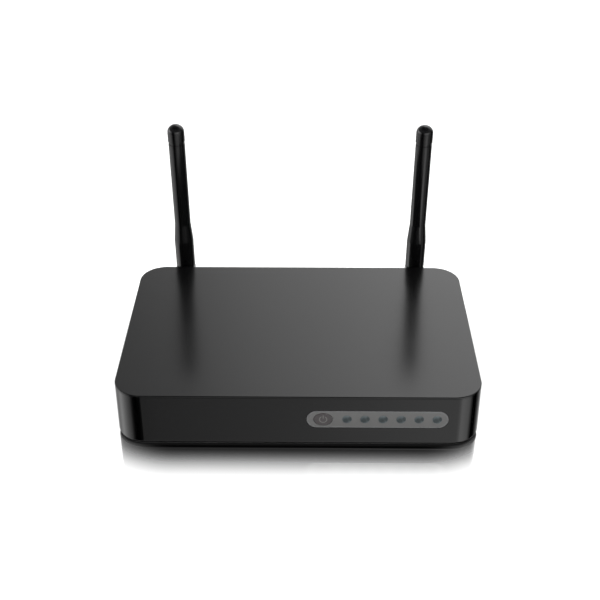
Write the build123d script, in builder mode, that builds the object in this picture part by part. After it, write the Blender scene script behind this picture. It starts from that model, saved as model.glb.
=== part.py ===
"""Optical network terminal: a flat desk-top case with two folding antennas behind it.

Millimetres. +Z is up, +Y is the rear, where the sockets are. The origin is on the desk, under the
middle of the whole object, antennas included.
"""

import os
from math import cos, radians, sin, tan

from build123d import *

os.makedirs("parts", exist_ok=True)

# ---------------------------------------------------------------- driving dimensions

# Case
CASE_WIDTH = 190.8
CASE_DEPTH = 131.0
CASE_HEIGHT = 31.5
CORNER = 15.0  # plan radius of the four corners
WALL = 2.0
GAP = 0.15  # shadow gap between neighbouring mouldings

# Antennas
ANTENNA_SPREAD = 141.4  # between the two antennas
HINGE_HEIGHT = 22.0  # the swivel and fold axes cross at this height
HINGE_SETBACK = 10.5  # fold axis behind the rear face
ANTENNA_LENGTH = 97.9  # fold axis to the tip
LEAN = 0.7  # degrees that each antenna stands out of plumb, outwards
SLEEVE_RADIUS = 5.75
ROD_RADIUS = 4.8
CAP_RADIUS = 4.95

# Heights
RIM_BOTTOM = 0.8
RIM_TOP = 1.6
FLOOR_TOP = 2.8
BAND_BOTTOM = 2.1
BAND_TOP = 30.45
COVER_BOTTOM = BAND_TOP + GAP
BOARD_BOTTOM = 8.0
BOARD_TOP = BOARD_BOTTOM + 1.6
BOSS_JOIN = 12.0  # where the cover's bosses meet the tray's

# Front window, with its button and six indicators
WINDOW_X = 41.1
WINDOW_Z = 17.3
WINDOW_LENGTH = 73.3
WINDOW_HEIGHT = 10.9
BUTTON_X = 13.1
BUTTON_WIDTH = 9.8
BUTTON_HEIGHT = 7.6
INDICATORS = 6
INDICATOR_PITCH = 9.3
FIRST_INDICATOR_X = 25.4
INDICATOR_RADIUS = 2.45

# Rear sockets, along X
OPTICAL_X = 53.0
LAN_X = 13.0
LAN_PORTS = 4
LAN_PITCH = 13.97
USB_X = -26.5
RESET_X = -37.5
POWER_JACK_X = -45.5
SWITCH_X = -56.5

# ---------------------------------------------------------------- places worked out from them

REAR_REACH = HINGE_SETBACK + SLEEVE_RADIUS
FRONT = -(CASE_DEPTH + REAR_REACH) / 2
REAR = FRONT + CASE_DEPTH
MIDDLE = (FRONT + REAR) / 2
PANEL_OUTSIDE = REAR - 0.2
PANEL_INSIDE = PANEL_OUTSIDE - WALL
PORT_FACE = REAR - 0.1
HINGE_Y = REAR + HINGE_SETBACK
ANTENNA_SIDES = {"left": -1, "right": 1}
INDICATOR_XS = [FIRST_INDICATOR_X + INDICATOR_PITCH * i for i in range(INDICATORS)]
LAN_XS = [LAN_X + LAN_PITCH * (i - (LAN_PORTS - 1) / 2) for i in range(LAN_PORTS)]

# Places in the case's plan, measured from its middle
CASE_SCREWS = [(82, -53), (-82, -53), (84, 38), (-84, 38)]
BOARD_SCREWS = [(68, -50), (-68, -50), (68, 34), (-68, 34)]
FEET = [(62, -54), (-62, -54), (62, 54), (-62, 54)]
KEYHOLES = [(-60, 4), (60, 4)]


def level(z):
    """A sketch plane at height z, centred on the case's plan."""
    return Plane((0, MIDDLE, z))


def upright(y):
    """A sketch plane at depth y: across is X, up is Z, and it extrudes towards the front."""
    return Plane.XZ.offset(-y)


def plan(inset):
    """The case's plan, drawn in from its edge all round."""
    width, depth = CASE_WIDTH - 2 * inset, CASE_DEPTH - 2 * inset
    return RectangleRounded(width, depth, CORNER - inset)


def finish(builder, name):
    """Labels a finished piece and writes it as its own STEP file."""
    builder.part.label = name
    export_step(builder.part, f"parts/{name}.step")


# ---------------------------------------------------------------- case mouldings

COVER_EDGE = 0.5
COVER_INSIDE = 29.4
LIP_BOTTOM = 26.6
LIP_INSET = WALL + 0.35
LIP_WALL = 1.2
COVER_BOSS_RADIUS = 3.0
SCREW_SHANK = 1.2
THREAD_FIT = 0.02
THREAD_DEPTH = 14.0
SWIVEL_CLEARANCE = 7.0

with BuildPart() as top_cover:
    with BuildSketch(level(COVER_BOTTOM)):
        plan(0)
    extrude(amount=CASE_HEIGHT - COVER_BOTTOM)
    fillet(top_cover.faces().sort_by(Axis.Z)[-1].edges(), COVER_EDGE)
    with BuildSketch(level(COVER_INSIDE)):
        plan(LIP_INSET)
    extrude(amount=COVER_BOTTOM - COVER_INSIDE)
    with BuildSketch(level(LIP_BOTTOM)):
        plan(LIP_INSET)
        with BuildSketch(mode=Mode.SUBTRACT):
            plan(LIP_INSET + LIP_WALL)
    extrude(amount=COVER_BOTTOM - LIP_BOTTOM)
    with BuildSketch(level(BOSS_JOIN + GAP)):
        with Locations(*CASE_SCREWS):
            Circle(COVER_BOSS_RADIUS)
    extrude(amount=COVER_BOTTOM - BOSS_JOIN - GAP)
    with BuildSketch(level(BOSS_JOIN + GAP)):
        with Locations(*CASE_SCREWS):
            Circle(SCREW_SHANK + THREAD_FIT)
    extrude(amount=THREAD_DEPTH, mode=Mode.SUBTRACT)
    # notches in the lip, round the antennas' swivels
    with BuildSketch(upright(REAR - WALL)):
        with Locations(*[(side * ANTENNA_SPREAD / 2, HINGE_HEIGHT) for side in ANTENNA_SIDES.values()]):
            Circle(SWIVEL_CLEARANCE)
    extrude(amount=2 * WALL, mode=Mode.SUBTRACT)
finish(top_cover, "top_cover")

PANEL_HALF_WIDTH = 79.0
BAND_EDGE = 0.5

with BuildPart() as front_band:
    with BuildSketch(level(BAND_BOTTOM)):
        plan(0)
        with BuildSketch(mode=Mode.SUBTRACT):
            plan(WALL)
    extrude(amount=BAND_TOP - BAND_BOTTOM)
    fillet(front_band.faces().sort_by(Axis.Z)[0].edges(), BAND_EDGE)
    with BuildSketch(level(0)):
        with Locations((0, CASE_DEPTH / 2)):
            Rectangle(2 * PANEL_HALF_WIDTH, 4 * WALL)
    extrude(amount=CASE_HEIGHT, mode=Mode.SUBTRACT)
    with BuildSketch(upright(FRONT + 2 * WALL)):
        with Locations((WINDOW_X, WINDOW_Z)):
            SlotOverall(WINDOW_LENGTH, WINDOW_HEIGHT)
    extrude(amount=4 * WALL, mode=Mode.SUBTRACT)
finish(front_band, "front_band")

TRAY_INSET = WALL + 0.35
TRAY_WALL = 1.25
TRAY_WALL_TOP = 6.0
TRAY_BOSS_RADIUS = 3.4
RIM_INSET = 0.6
RIM_EDGE = 0.3
SCREW_CLEARANCE = 0.2
POST_FLOOR = 0.8
COUNTERBORE_RADIUS = 2.7
COUNTERBORE_TOP = 9.0
POST_RADIUS = 3.0
FOOT_RADIUS = 6.0
FOOT_TOP = 1.7
FOOT_FIT = 0.2
FOOT_EDGE = 0.4
KEYHOLE_ENTRY = 3.75
KEYHOLE_SLOT = 2.1
KEYHOLE_RUN = 8.0
POCKET_WIDTH = 12.4
POCKET_LENGTH = 20.0
POCKET_CORNER = 2.0
POCKET_WALL = 1.2
POCKET_TOP = 7.2
VENT_WIDTH = 2.2
VENT_LENGTH = 26.0
VENT_PITCH = 5.0
VENT_ROWS = 2
VENTS_IN_A_ROW = 15
VENT_ROW_GAP = 8.0

with BuildPart() as bottom_case:
    with BuildSketch(level(RIM_BOTTOM)):
        plan(RIM_INSET)
    extrude(amount=RIM_TOP - RIM_BOTTOM)
    chamfer(bottom_case.faces().sort_by(Axis.Z)[0].edges(), RIM_EDGE)
    with BuildSketch(level(RIM_TOP)):
        plan(TRAY_INSET)
    extrude(amount=TRAY_WALL_TOP - RIM_TOP)
    with BuildSketch(level(FLOOR_TOP)):
        plan(TRAY_INSET + TRAY_WALL)
    extrude(amount=TRAY_WALL_TOP - FLOOR_TOP, mode=Mode.SUBTRACT)
    # columns for the case screws, and posts under the board
    with BuildSketch(level(FLOOR_TOP)):
        with Locations(*CASE_SCREWS):
            Circle(TRAY_BOSS_RADIUS)
    extrude(amount=BOSS_JOIN - FLOOR_TOP)
    with BuildSketch(level(FLOOR_TOP)):
        with Locations(*BOARD_SCREWS):
            Circle(POST_RADIUS)
    extrude(amount=BOARD_BOTTOM - FLOOR_TOP)
    with BuildSketch(level(RIM_BOTTOM)):
        with Locations(*CASE_SCREWS):
            Circle(COUNTERBORE_RADIUS)
    extrude(amount=COUNTERBORE_TOP - RIM_BOTTOM, mode=Mode.SUBTRACT)
    with BuildSketch(level(RIM_BOTTOM)):
        with Locations(*CASE_SCREWS):
            Circle(SCREW_SHANK + SCREW_CLEARANCE)
    extrude(amount=BOSS_JOIN - RIM_BOTTOM, mode=Mode.SUBTRACT)
    with BuildSketch(level(FLOOR_TOP + POST_FLOOR)):
        with Locations(*BOARD_SCREWS):
            Circle(SCREW_SHANK + THREAD_FIT)
    extrude(amount=BOARD_BOTTOM, mode=Mode.SUBTRACT)
    # walled pockets over the wall-mounting keyholes, then the keyholes, narrow end to the front
    with BuildSketch(level(FLOOR_TOP)):
        with Locations(*[(x, y - KEYHOLE_RUN / 2) for x, y in KEYHOLES]):
            outside = (POCKET_WIDTH + 2 * POCKET_WALL, POCKET_LENGTH + 2 * POCKET_WALL)
            RectangleRounded(*outside, POCKET_CORNER + POCKET_WALL)
            RectangleRounded(POCKET_WIDTH, POCKET_LENGTH, POCKET_CORNER, mode=Mode.SUBTRACT)
    extrude(amount=POCKET_TOP - FLOOR_TOP)
    with BuildSketch(level(RIM_BOTTOM)):
        with Locations(*KEYHOLES):
            Circle(KEYHOLE_ENTRY)
        with Locations(*[(x, y - KEYHOLE_RUN / 2) for x, y in KEYHOLES]):
            SlotCenterToCenter(KEYHOLE_RUN, 2 * KEYHOLE_SLOT, rotation=90)
    extrude(amount=FLOOR_TOP - RIM_BOTTOM, mode=Mode.SUBTRACT)
    # foot pockets and cooling slots
    with BuildSketch(level(RIM_BOTTOM)):
        with Locations(*FEET):
            Circle(FOOT_RADIUS + FOOT_FIT)
    extrude(amount=FOOT_TOP - RIM_BOTTOM, mode=Mode.SUBTRACT)
    with BuildSketch(level(RIM_BOTTOM)):
        with GridLocations(VENT_PITCH, VENT_LENGTH + VENT_ROW_GAP, VENTS_IN_A_ROW, VENT_ROWS):
            SlotOverall(VENT_LENGTH, VENT_WIDTH, rotation=90)
    extrude(amount=FLOOR_TOP - RIM_BOTTOM, mode=Mode.SUBTRACT)
finish(bottom_case, "bottom_case")

with BuildPart() as rubber_feet:
    with BuildSketch(level(0)):
        with Locations(*FEET):
            Circle(FOOT_RADIUS)
    extrude(amount=FOOT_TOP)
    chamfer(rubber_feet.faces().filter_by(Axis.Z).group_by(Axis.Z)[0].edges(), FOOT_EDGE)
finish(rubber_feet, "rubber_feet")

# ---------------------------------------------------------------- rear panel

USB_CUT_CORNER = 0.6
CAP_CUT_CORNER = 0.9
PANEL_BOTTOM = BAND_BOTTOM + 0.2
PANEL_TOP = BAND_TOP - 0.1
PORT_FIT = 0.3
LAN_BLOCK_WIDTH = 58.2
LAN_BLOCK_HEIGHT = 13.2
SHIELD_SHEET = 0.3
OPTICAL_WIDTH = 12.8
OPTICAL_HEIGHT = 9.4
OPTICAL_BOTTOM = BOARD_TOP + 0.1
USB_WIDTH = 13.2
USB_HEIGHT = 5.9
USB_BOTTOM = BOARD_TOP + 0.3
JACK_BARREL = 4.5
JACK_AXIS_Z = BOARD_TOP + 6.5
SWITCH_CAP = 5.6
SWITCH_AXIS_Z = BOARD_TOP + 4.2
RESET_AXIS_Z = BOARD_TOP + 2.4
PINHOLE = 1.0
SWIVEL_BORE = 4.5
COLLAR_RADIUS = 6.8
COLLAR_STEP = 0.9
COLLAR_EDGE = 0.4
EAR_PLACE = (78.9, 16.0)  # each ear in the rear panel: across, and height
EAR_SIZE = (3.2, 18.0, 1.2)

with BuildPart() as rear_panel:
    with BuildSketch(upright(PANEL_OUTSIDE)):
        with Locations((0, (PANEL_BOTTOM + PANEL_TOP) / 2)):
            Rectangle(2 * (PANEL_HALF_WIDTH - GAP), PANEL_TOP - PANEL_BOTTOM)
    extrude(amount=WALL)
    # ears that catch behind the band's two ends
    with BuildSketch(upright(PANEL_INSIDE)):
        for side in ANTENNA_SIDES.values():
            with Locations((side * EAR_PLACE[0], EAR_PLACE[1])):
                Rectangle(EAR_SIZE[0], EAR_SIZE[1])
    extrude(amount=EAR_SIZE[2])
    with BuildSketch(upright(REAR + COLLAR_STEP)):
        for side in ANTENNA_SIDES.values():
            with Locations((side * ANTENNA_SPREAD / 2, HINGE_HEIGHT)):
                Circle(COLLAR_RADIUS)
    extrude(amount=REAR + COLLAR_STEP - PANEL_OUTSIDE + WALL / 2)
    chamfer(rear_panel.faces().sort_by(Axis.Y)[-2:].edges(), COLLAR_EDGE)
    with BuildSketch(upright(REAR + 2 * COLLAR_STEP)):
        for side in ANTENNA_SIDES.values():
            with Locations((side * ANTENNA_SPREAD / 2, HINGE_HEIGHT)):
                Circle(SWIVEL_BORE)
        with Locations((LAN_X, BOARD_TOP + LAN_BLOCK_HEIGHT / 2)):
            Rectangle(LAN_BLOCK_WIDTH + 2 * PORT_FIT, LAN_BLOCK_HEIGHT + 2 * PORT_FIT)
        with Locations((OPTICAL_X, OPTICAL_BOTTOM + OPTICAL_HEIGHT / 2)):
            Rectangle(OPTICAL_WIDTH + 2 * PORT_FIT, OPTICAL_HEIGHT + 2 * PORT_FIT)
        with Locations((USB_X, USB_BOTTOM + USB_HEIGHT / 2)):
            RectangleRounded(USB_WIDTH + 2 * PORT_FIT, USB_HEIGHT + 2 * PORT_FIT, USB_CUT_CORNER)
        with Locations((POWER_JACK_X, JACK_AXIS_Z)):
            Circle(JACK_BARREL + PORT_FIT)
        with Locations((SWITCH_X, SWITCH_AXIS_Z)):
            RectangleRounded(SWITCH_CAP + 2 * PORT_FIT, SWITCH_CAP + 2 * PORT_FIT, CAP_CUT_CORNER)
        with Locations((RESET_X, RESET_AXIS_Z)):
            Circle(PINHOLE)
    extrude(amount=4 * WALL, mode=Mode.SUBTRACT)
finish(rear_panel, "rear_panel")

# ---------------------------------------------------------------- front window and button

BUTTON_FIT = 0.15
WINDOW_FIT = 0.1
LENS_FIT = 0.05
WINDOW_FLANGE = 1.5
WINDOW_BACK = FRONT + WALL + 1.0

with BuildPart() as lamp_window:
    with BuildSketch(upright(WINDOW_BACK)):
        with Locations((WINDOW_X, WINDOW_Z)):
            SlotOverall(WINDOW_LENGTH - 2 * WINDOW_FIT, WINDOW_HEIGHT - 2 * WINDOW_FIT)
    extrude(amount=WINDOW_BACK - FRONT - WINDOW_FIT)
    with BuildSketch(upright(WINDOW_BACK)):
        with Locations((WINDOW_X, WINDOW_Z)):
            SlotOverall(WINDOW_LENGTH + 2 * WINDOW_FLANGE, WINDOW_HEIGHT + 2 * WINDOW_FLANGE)
    extrude(amount=WINDOW_BACK - FRONT - WALL)
    with BuildSketch(upright(WINDOW_BACK)):
        with Locations((BUTTON_X, WINDOW_Z)):
            Ellipse(BUTTON_WIDTH / 2 + BUTTON_FIT, BUTTON_HEIGHT / 2 + BUTTON_FIT)
        with Locations(*[(x, WINDOW_Z) for x in INDICATOR_XS]):
            Circle(INDICATOR_RADIUS + LENS_FIT)
    extrude(amount=2 * WALL, mode=Mode.SUBTRACT)
finish(lamp_window, "lamp_window")

with BuildPart() as indicator_lenses:
    with BuildSketch(upright(WINDOW_BACK)):
        with Locations(*[(x, WINDOW_Z) for x in INDICATOR_XS]):
            Circle(INDICATOR_RADIUS)
    extrude(amount=WINDOW_BACK - FRONT - LENS_FIT)
finish(indicator_lenses, "indicator_lenses")

BUTTON_PROUD = 0.1
BUTTON_EDGE = 0.4
BUTTON_FLANGE = 0.9
BUTTON_FLANGE_THICKNESS = 1.0
BUTTON_FLANGE_FRONT = WINDOW_BACK + 0.1
BUTTON_ARM = (4.0, 1.2)  # width and thickness
BUTTON_ARM_BACK = BUTTON_FLANGE_FRONT + BUTTON_FLANGE_THICKNESS + BUTTON_ARM[1]
ARM_OVERLAP = 1.5
MARK_RADIUS = 1.9
MARK_LINE = 0.5
MARK_GAP = 1.5
MARK_BAR = (0.5, 2.6)  # where the upright stroke starts and ends, above the middle
MARK_DEPTH = 0.15
FRONT_SWITCH_Z = BOARD_TOP + 2.5

with BuildPart() as power_button:
    with BuildSketch(upright(BUTTON_FLANGE_FRONT)):
        with Locations((BUTTON_X, WINDOW_Z)):
            Ellipse(BUTTON_WIDTH / 2, BUTTON_HEIGHT / 2)
    extrude(amount=BUTTON_FLANGE_FRONT - FRONT + BUTTON_PROUD)
    fillet(power_button.faces().sort_by(Axis.Y)[0].edges(), BUTTON_EDGE)
    # an engraved power mark: a broken ring with an upright stroke in the break
    with BuildSketch(upright(FRONT - BUTTON_PROUD + MARK_DEPTH)):
        with Locations((BUTTON_X, WINDOW_Z)):
            Circle(MARK_RADIUS + MARK_LINE / 2)
            Circle(MARK_RADIUS - MARK_LINE / 2, mode=Mode.SUBTRACT)
        with Locations((BUTTON_X, WINDOW_Z + MARK_RADIUS)):
            Rectangle(MARK_GAP, MARK_RADIUS, mode=Mode.SUBTRACT)
        with Locations((BUTTON_X, WINDOW_Z + (MARK_BAR[0] + MARK_BAR[1]) / 2)):
            Rectangle(MARK_LINE, MARK_BAR[1] - MARK_BAR[0])
    extrude(amount=MARK_DEPTH, mode=Mode.SUBTRACT)
    with BuildSketch(upright(BUTTON_FLANGE_FRONT + BUTTON_FLANGE_THICKNESS)):
        with Locations((BUTTON_X, WINDOW_Z)):
            Ellipse(BUTTON_WIDTH / 2 + BUTTON_FLANGE, BUTTON_HEIGHT / 2 + BUTTON_FLANGE)
    extrude(amount=BUTTON_FLANGE_THICKNESS)
    # the arm that reaches down to the switch on the board
    with BuildSketch(upright(BUTTON_ARM_BACK)):
        with Locations((BUTTON_X, (WINDOW_Z + FRONT_SWITCH_Z - ARM_OVERLAP) / 2)):
            Rectangle(BUTTON_ARM[0], WINDOW_Z - FRONT_SWITCH_Z + ARM_OVERLAP)
    extrude(amount=BUTTON_ARM[1])
finish(power_button, "power_button")

TACT_PLUNGER = 1.5
TACT_FIT = 0.05
TACT_TRAVEL = 1.1
TACT_BODY = (6.0, 4.6, 3.6)  # width, height and depth
TACT_BORE = 2.4
TACT_STEM = 1.4
TACT_BODY_FRONT = BUTTON_ARM_BACK + TACT_TRAVEL

with BuildPart() as button_switch:
    with BuildSketch(upright(TACT_BODY_FRONT + TACT_BODY[2])):
        with Locations((BUTTON_X, BOARD_TOP + TACT_BODY[1] / 2)):
            Rectangle(TACT_BODY[0], TACT_BODY[1])
    extrude(amount=TACT_BODY[2])
    with BuildSketch(upright(TACT_BODY_FRONT + TACT_BORE)):
        with Locations((BUTTON_X, FRONT_SWITCH_Z)):
            Circle(TACT_PLUNGER + TACT_FIT)
    extrude(amount=TACT_BORE, mode=Mode.SUBTRACT)
finish(button_switch, "button_switch")

with BuildPart() as button_plunger:
    with BuildSketch(upright(TACT_BODY_FRONT + TACT_STEM)):
        with Locations((BUTTON_X, FRONT_SWITCH_Z)):
            Circle(TACT_PLUNGER)
    extrude(amount=TACT_BODY_FRONT + TACT_STEM - BUTTON_ARM_BACK)
finish(button_plunger, "button_plunger")

PIPE = 3.4  # side of each square light pipe
LAMP_Y = FRONT + 9.0
PIPE_FRONT = WINDOW_BACK + 0.1
PIPE_BACK = LAMP_Y + PIPE / 2
PIPE_BOTTOM = BOARD_TOP + 1.5
PIPE_TOP = WINDOW_Z + PIPE / 2
BRIDGE_SIZE = (1.6, 1.4)  # depth and height of the bar that joins the pipes
LAMP_CHIP = (3.2, 1.6, 1.2)

with BuildPart() as light_guide:
    with BuildSketch(Plane.YZ.offset(FIRST_INDICATOR_X + PIPE / 2)):
        with BuildLine():
            Polyline(
                (PIPE_FRONT, PIPE_TOP),
                (PIPE_BACK - PIPE / 2, PIPE_TOP),
                (PIPE_BACK, PIPE_TOP - PIPE / 2),
                (PIPE_BACK, PIPE_BOTTOM),
                (PIPE_BACK - PIPE, PIPE_BOTTOM),
                (PIPE_BACK - PIPE, PIPE_TOP - PIPE),
                (PIPE_FRONT, PIPE_TOP - PIPE),
                close=True,
            )
        make_face()
    extrude(amount=-PIPE)
    pipe = light_guide.part
    with Locations(*[(INDICATOR_PITCH * i, 0, 0) for i in range(1, INDICATORS)]):
        add(pipe)
    bridge_length = INDICATOR_PITCH * (INDICATORS - 1) + PIPE
    bridge_middle = (INDICATOR_XS[0] + INDICATOR_XS[-1]) / 2
    with Locations((bridge_middle, LAMP_Y - PIPE / 2, PIPE_TOP + BRIDGE_SIZE[1] / 2)):
        Box(bridge_length, *BRIDGE_SIZE)
finish(light_guide, "light_guide")

with BuildPart() as led_chips:
    with Locations(*[(x, LAMP_Y, BOARD_TOP + LAMP_CHIP[2] / 2) for x in INDICATOR_XS]):
        Box(*LAMP_CHIP)
finish(led_chips, "led_chips")

# ---------------------------------------------------------------- board and what is on it

BOARD_HALF_WIDTH = 74.0
BOARD_FRONT = FRONT + 6.0
BOARD_REAR = PANEL_INSIDE - 1.2
BOARD_CORNER = 2.0
BOARD_HOLE_FIT = 0.3

with BuildPart() as main_board:
    with BuildSketch(Plane.XY.offset(BOARD_BOTTOM)):
        with Locations((0, (BOARD_FRONT + BOARD_REAR) / 2)):
            RectangleRounded(2 * BOARD_HALF_WIDTH, BOARD_REAR - BOARD_FRONT, BOARD_CORNER)
        with Locations(*[(x, y + MIDDLE) for x, y in BOARD_SCREWS]):
            Circle(SCREW_SHANK + BOARD_HOLE_FIT, mode=Mode.SUBTRACT)
    extrude(amount=BOARD_TOP - BOARD_BOTTOM)
finish(main_board, "main_board")

CASE_HEAD_HEIGHT = 1.9
CASE_HEAD_RADIUS = 2.4
BOARD_HEAD_HEIGHT = 1.7
BOARD_HEAD_RADIUS = 2.6
DRIVE_WIDTH = 0.7
DRIVE_LENGTH = 2.8
DRIVE_DEPTH = 1.0
HEAD_EDGE = 0.5
CASE_SHANK_LENGTH = 14.0
BOARD_SHANK_START = FLOOR_TOP + 1.2

with BuildPart() as case_screws:
    with BuildSketch(level(COUNTERBORE_TOP - CASE_HEAD_HEIGHT)):
        with Locations(*CASE_SCREWS):
            Circle(CASE_HEAD_RADIUS)
    extrude(amount=CASE_HEAD_HEIGHT)
    fillet(case_screws.faces().filter_by(Axis.Z).group_by(Axis.Z)[0].edges(), HEAD_EDGE)
    with BuildSketch(level(COUNTERBORE_TOP)):
        with Locations(*CASE_SCREWS):
            Circle(SCREW_SHANK)
    extrude(amount=CASE_SHANK_LENGTH)
    with BuildSketch(level(COUNTERBORE_TOP - CASE_HEAD_HEIGHT)):
        with Locations(*CASE_SCREWS):
            Rectangle(DRIVE_LENGTH, DRIVE_WIDTH)
            Rectangle(DRIVE_WIDTH, DRIVE_LENGTH)
    extrude(amount=DRIVE_DEPTH, mode=Mode.SUBTRACT)
finish(case_screws, "case_screws")

with BuildPart() as board_screws:
    with BuildSketch(level(BOARD_TOP)):
        with Locations(*BOARD_SCREWS):
            Circle(BOARD_HEAD_RADIUS)
    extrude(amount=BOARD_HEAD_HEIGHT)
    fillet(board_screws.faces().filter_by(Axis.Z).group_by(Axis.Z)[-1].edges(), HEAD_EDGE)
    with BuildSketch(level(BOARD_SHANK_START)):
        with Locations(*BOARD_SCREWS):
            Circle(SCREW_SHANK)
    extrude(amount=BOARD_TOP - BOARD_SHANK_START)
    with BuildSketch(level(BOARD_TOP + BOARD_HEAD_HEIGHT)):
        with Locations(*BOARD_SCREWS):
            Rectangle(DRIVE_LENGTH, DRIVE_WIDTH)
            Rectangle(DRIVE_WIDTH, DRIVE_LENGTH)
    extrude(amount=-DRIVE_DEPTH, mode=Mode.SUBTRACT)
finish(board_screws, "board_screws")

# Each chip or lump on the board: its place in the case's plan, and its width, depth and height
SOC = ((-12, -8), (15, 15, 1.2))
THERMAL_PAD_THICKNESS = 0.5
SINK_SIDE = 34.0
SINK_BASE = 2.0
SINK_FINS = 9
SINK_FIN_WIDTH = 1.2
SINK_TOP = 19.5
MEMORIES = [(18, -14), (18, 3)]
TRANSFORMERS = [(2, 26), (24, 26)]
RADIO_CHIPS = [(-52, -22), (-40, -22)]
SHIELD_CAN = ((-46, -22), (30, 24, 3.2))
CAPACITORS = [(-40, 31), (-51, 31), (-40, 20)]
CAPACITOR_RADIUS = 4.0
CAPACITOR_HEIGHT = 12.0
CAPACITOR_EDGE = 0.6
INDUCTORS = [(-51, 19), (-29, 31)]
CRYSTAL = (34, -12)
CHIP_EDGE = 0.2
PAD_SIDE = 14.0
MEMORY_SIZE = (9, 13, 1.0)
TRANSFORMER_SIZE = (16, 9, 6.0)
RADIO_CHIP_SIZE = (7, 7, 0.9)
INDUCTOR_SIZE = (7, 7, 3.2)
CRYSTAL_SIZE = (11, 4.6, 3.4)
SHIELD_CORNER = 1.0


def block_chips(places, width, depth, height, name):
    """Moulded chips that stand on the board, with a small slope round their upper edges."""
    with BuildPart() as chips:
        with BuildSketch(level(BOARD_TOP)):
            with Locations(*places):
                Rectangle(width, depth)
        extrude(amount=height)
        chamfer(chips.faces().filter_by(Axis.Z).group_by(Axis.Z)[-1].edges(), CHIP_EDGE)
    finish(chips, name)


soc_place, soc_size = SOC
block_chips([soc_place], *soc_size, "processor_chip")
block_chips(MEMORIES, *MEMORY_SIZE, "memory_chips")
block_chips(TRANSFORMERS, *TRANSFORMER_SIZE, "network_transformers")
block_chips(RADIO_CHIPS, *RADIO_CHIP_SIZE, "radio_chips")
block_chips(INDUCTORS, *INDUCTOR_SIZE, "power_inductors")
block_chips([CRYSTAL], *CRYSTAL_SIZE, "crystal")

SINK_BOTTOM = BOARD_TOP + soc_size[2] + THERMAL_PAD_THICKNESS

with BuildPart() as thermal_pad:
    with BuildSketch(level(SINK_BOTTOM - THERMAL_PAD_THICKNESS)):
        with Locations(soc_place):
            Rectangle(PAD_SIDE, PAD_SIDE)
    extrude(amount=THERMAL_PAD_THICKNESS)
finish(thermal_pad, "thermal_pad")

with BuildPart() as heat_sink:
    with BuildSketch(level(SINK_BOTTOM)):
        with Locations(soc_place):
            Rectangle(SINK_SIDE, SINK_SIDE)
    extrude(amount=SINK_BASE)
    with BuildSketch(level(SINK_BOTTOM + SINK_BASE)):
        with Locations(soc_place):
            with GridLocations((SINK_SIDE - SINK_FIN_WIDTH) / (SINK_FINS - 1), 0, SINK_FINS, 1):
                Rectangle(SINK_FIN_WIDTH, SINK_SIDE)
    extrude(amount=SINK_TOP - SINK_BOTTOM - SINK_BASE)
finish(heat_sink, "heat_sink")

can_place, can_size = SHIELD_CAN

with BuildPart() as radio_shield:
    with BuildSketch(level(BOARD_TOP)):
        with Locations(can_place):
            RectangleRounded(can_size[0], can_size[1], SHIELD_CORNER)
    extrude(amount=can_size[2])
    with BuildSketch(level(BOARD_TOP)):
        with Locations(can_place):
            Rectangle(can_size[0] - 2 * SHIELD_SHEET, can_size[1] - 2 * SHIELD_SHEET)
    extrude(amount=can_size[2] - SHIELD_SHEET, mode=Mode.SUBTRACT)
finish(radio_shield, "radio_shield")

with BuildPart() as power_capacitors:
    with BuildSketch(level(BOARD_TOP)):
        with Locations(*CAPACITORS):
            Circle(CAPACITOR_RADIUS)
    extrude(amount=CAPACITOR_HEIGHT)
    fillet(power_capacitors.faces().filter_by(Axis.Z).group_by(Axis.Z)[-1].edges(), CAPACITOR_EDGE)
finish(power_capacitors, "power_capacitors")

# ---------------------------------------------------------------- network sockets

LAN_DEPTH = 16.0
LAN_MOUTH = 11.8
LAN_FLOOR = 12.6
LAN_ROOF = 20.6
LAN_SOCKET_DEPTH = 13.0
LATCH_STEPS = [(6.2, 11.2), (3.4, 10.3)]  # width and floor height of each step of the latch slot
LAN_BLOCK_MIDDLE = BOARD_TOP + LAN_BLOCK_HEIGHT / 2
SHIELD_MARGIN = 0.2
SHIELD_CUT = 1.0


def lan_outline(extra=0.0):
    """The mouths of the four network sockets, with the stepped slot for each plug's latch."""
    with Locations(*[(x, (LAN_FLOOR + LAN_ROOF) / 2) for x in LAN_XS]):
        Rectangle(LAN_MOUTH + 2 * extra, LAN_ROOF - LAN_FLOOR + 2 * extra)
    for width, floor in LATCH_STEPS:
        with Locations(*[(x, (floor + LAN_FLOOR) / 2) for x in LAN_XS]):
            Rectangle(width + 2 * extra, LAN_FLOOR - floor + 2 * extra)


with BuildPart() as lan_jack_housing:
    with BuildSketch(upright(PORT_FACE - SHIELD_SHEET)):
        with Locations((LAN_X, LAN_BLOCK_MIDDLE - SHIELD_SHEET / 2)):
            Rectangle(LAN_BLOCK_WIDTH - 2 * SHIELD_SHEET, LAN_BLOCK_HEIGHT - SHIELD_SHEET)
    extrude(amount=LAN_DEPTH - SHIELD_SHEET)
    with BuildSketch(upright(PORT_FACE)):
        lan_outline()
    extrude(amount=LAN_SOCKET_DEPTH, mode=Mode.SUBTRACT)
finish(lan_jack_housing, "lan_jack_housing")

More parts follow.
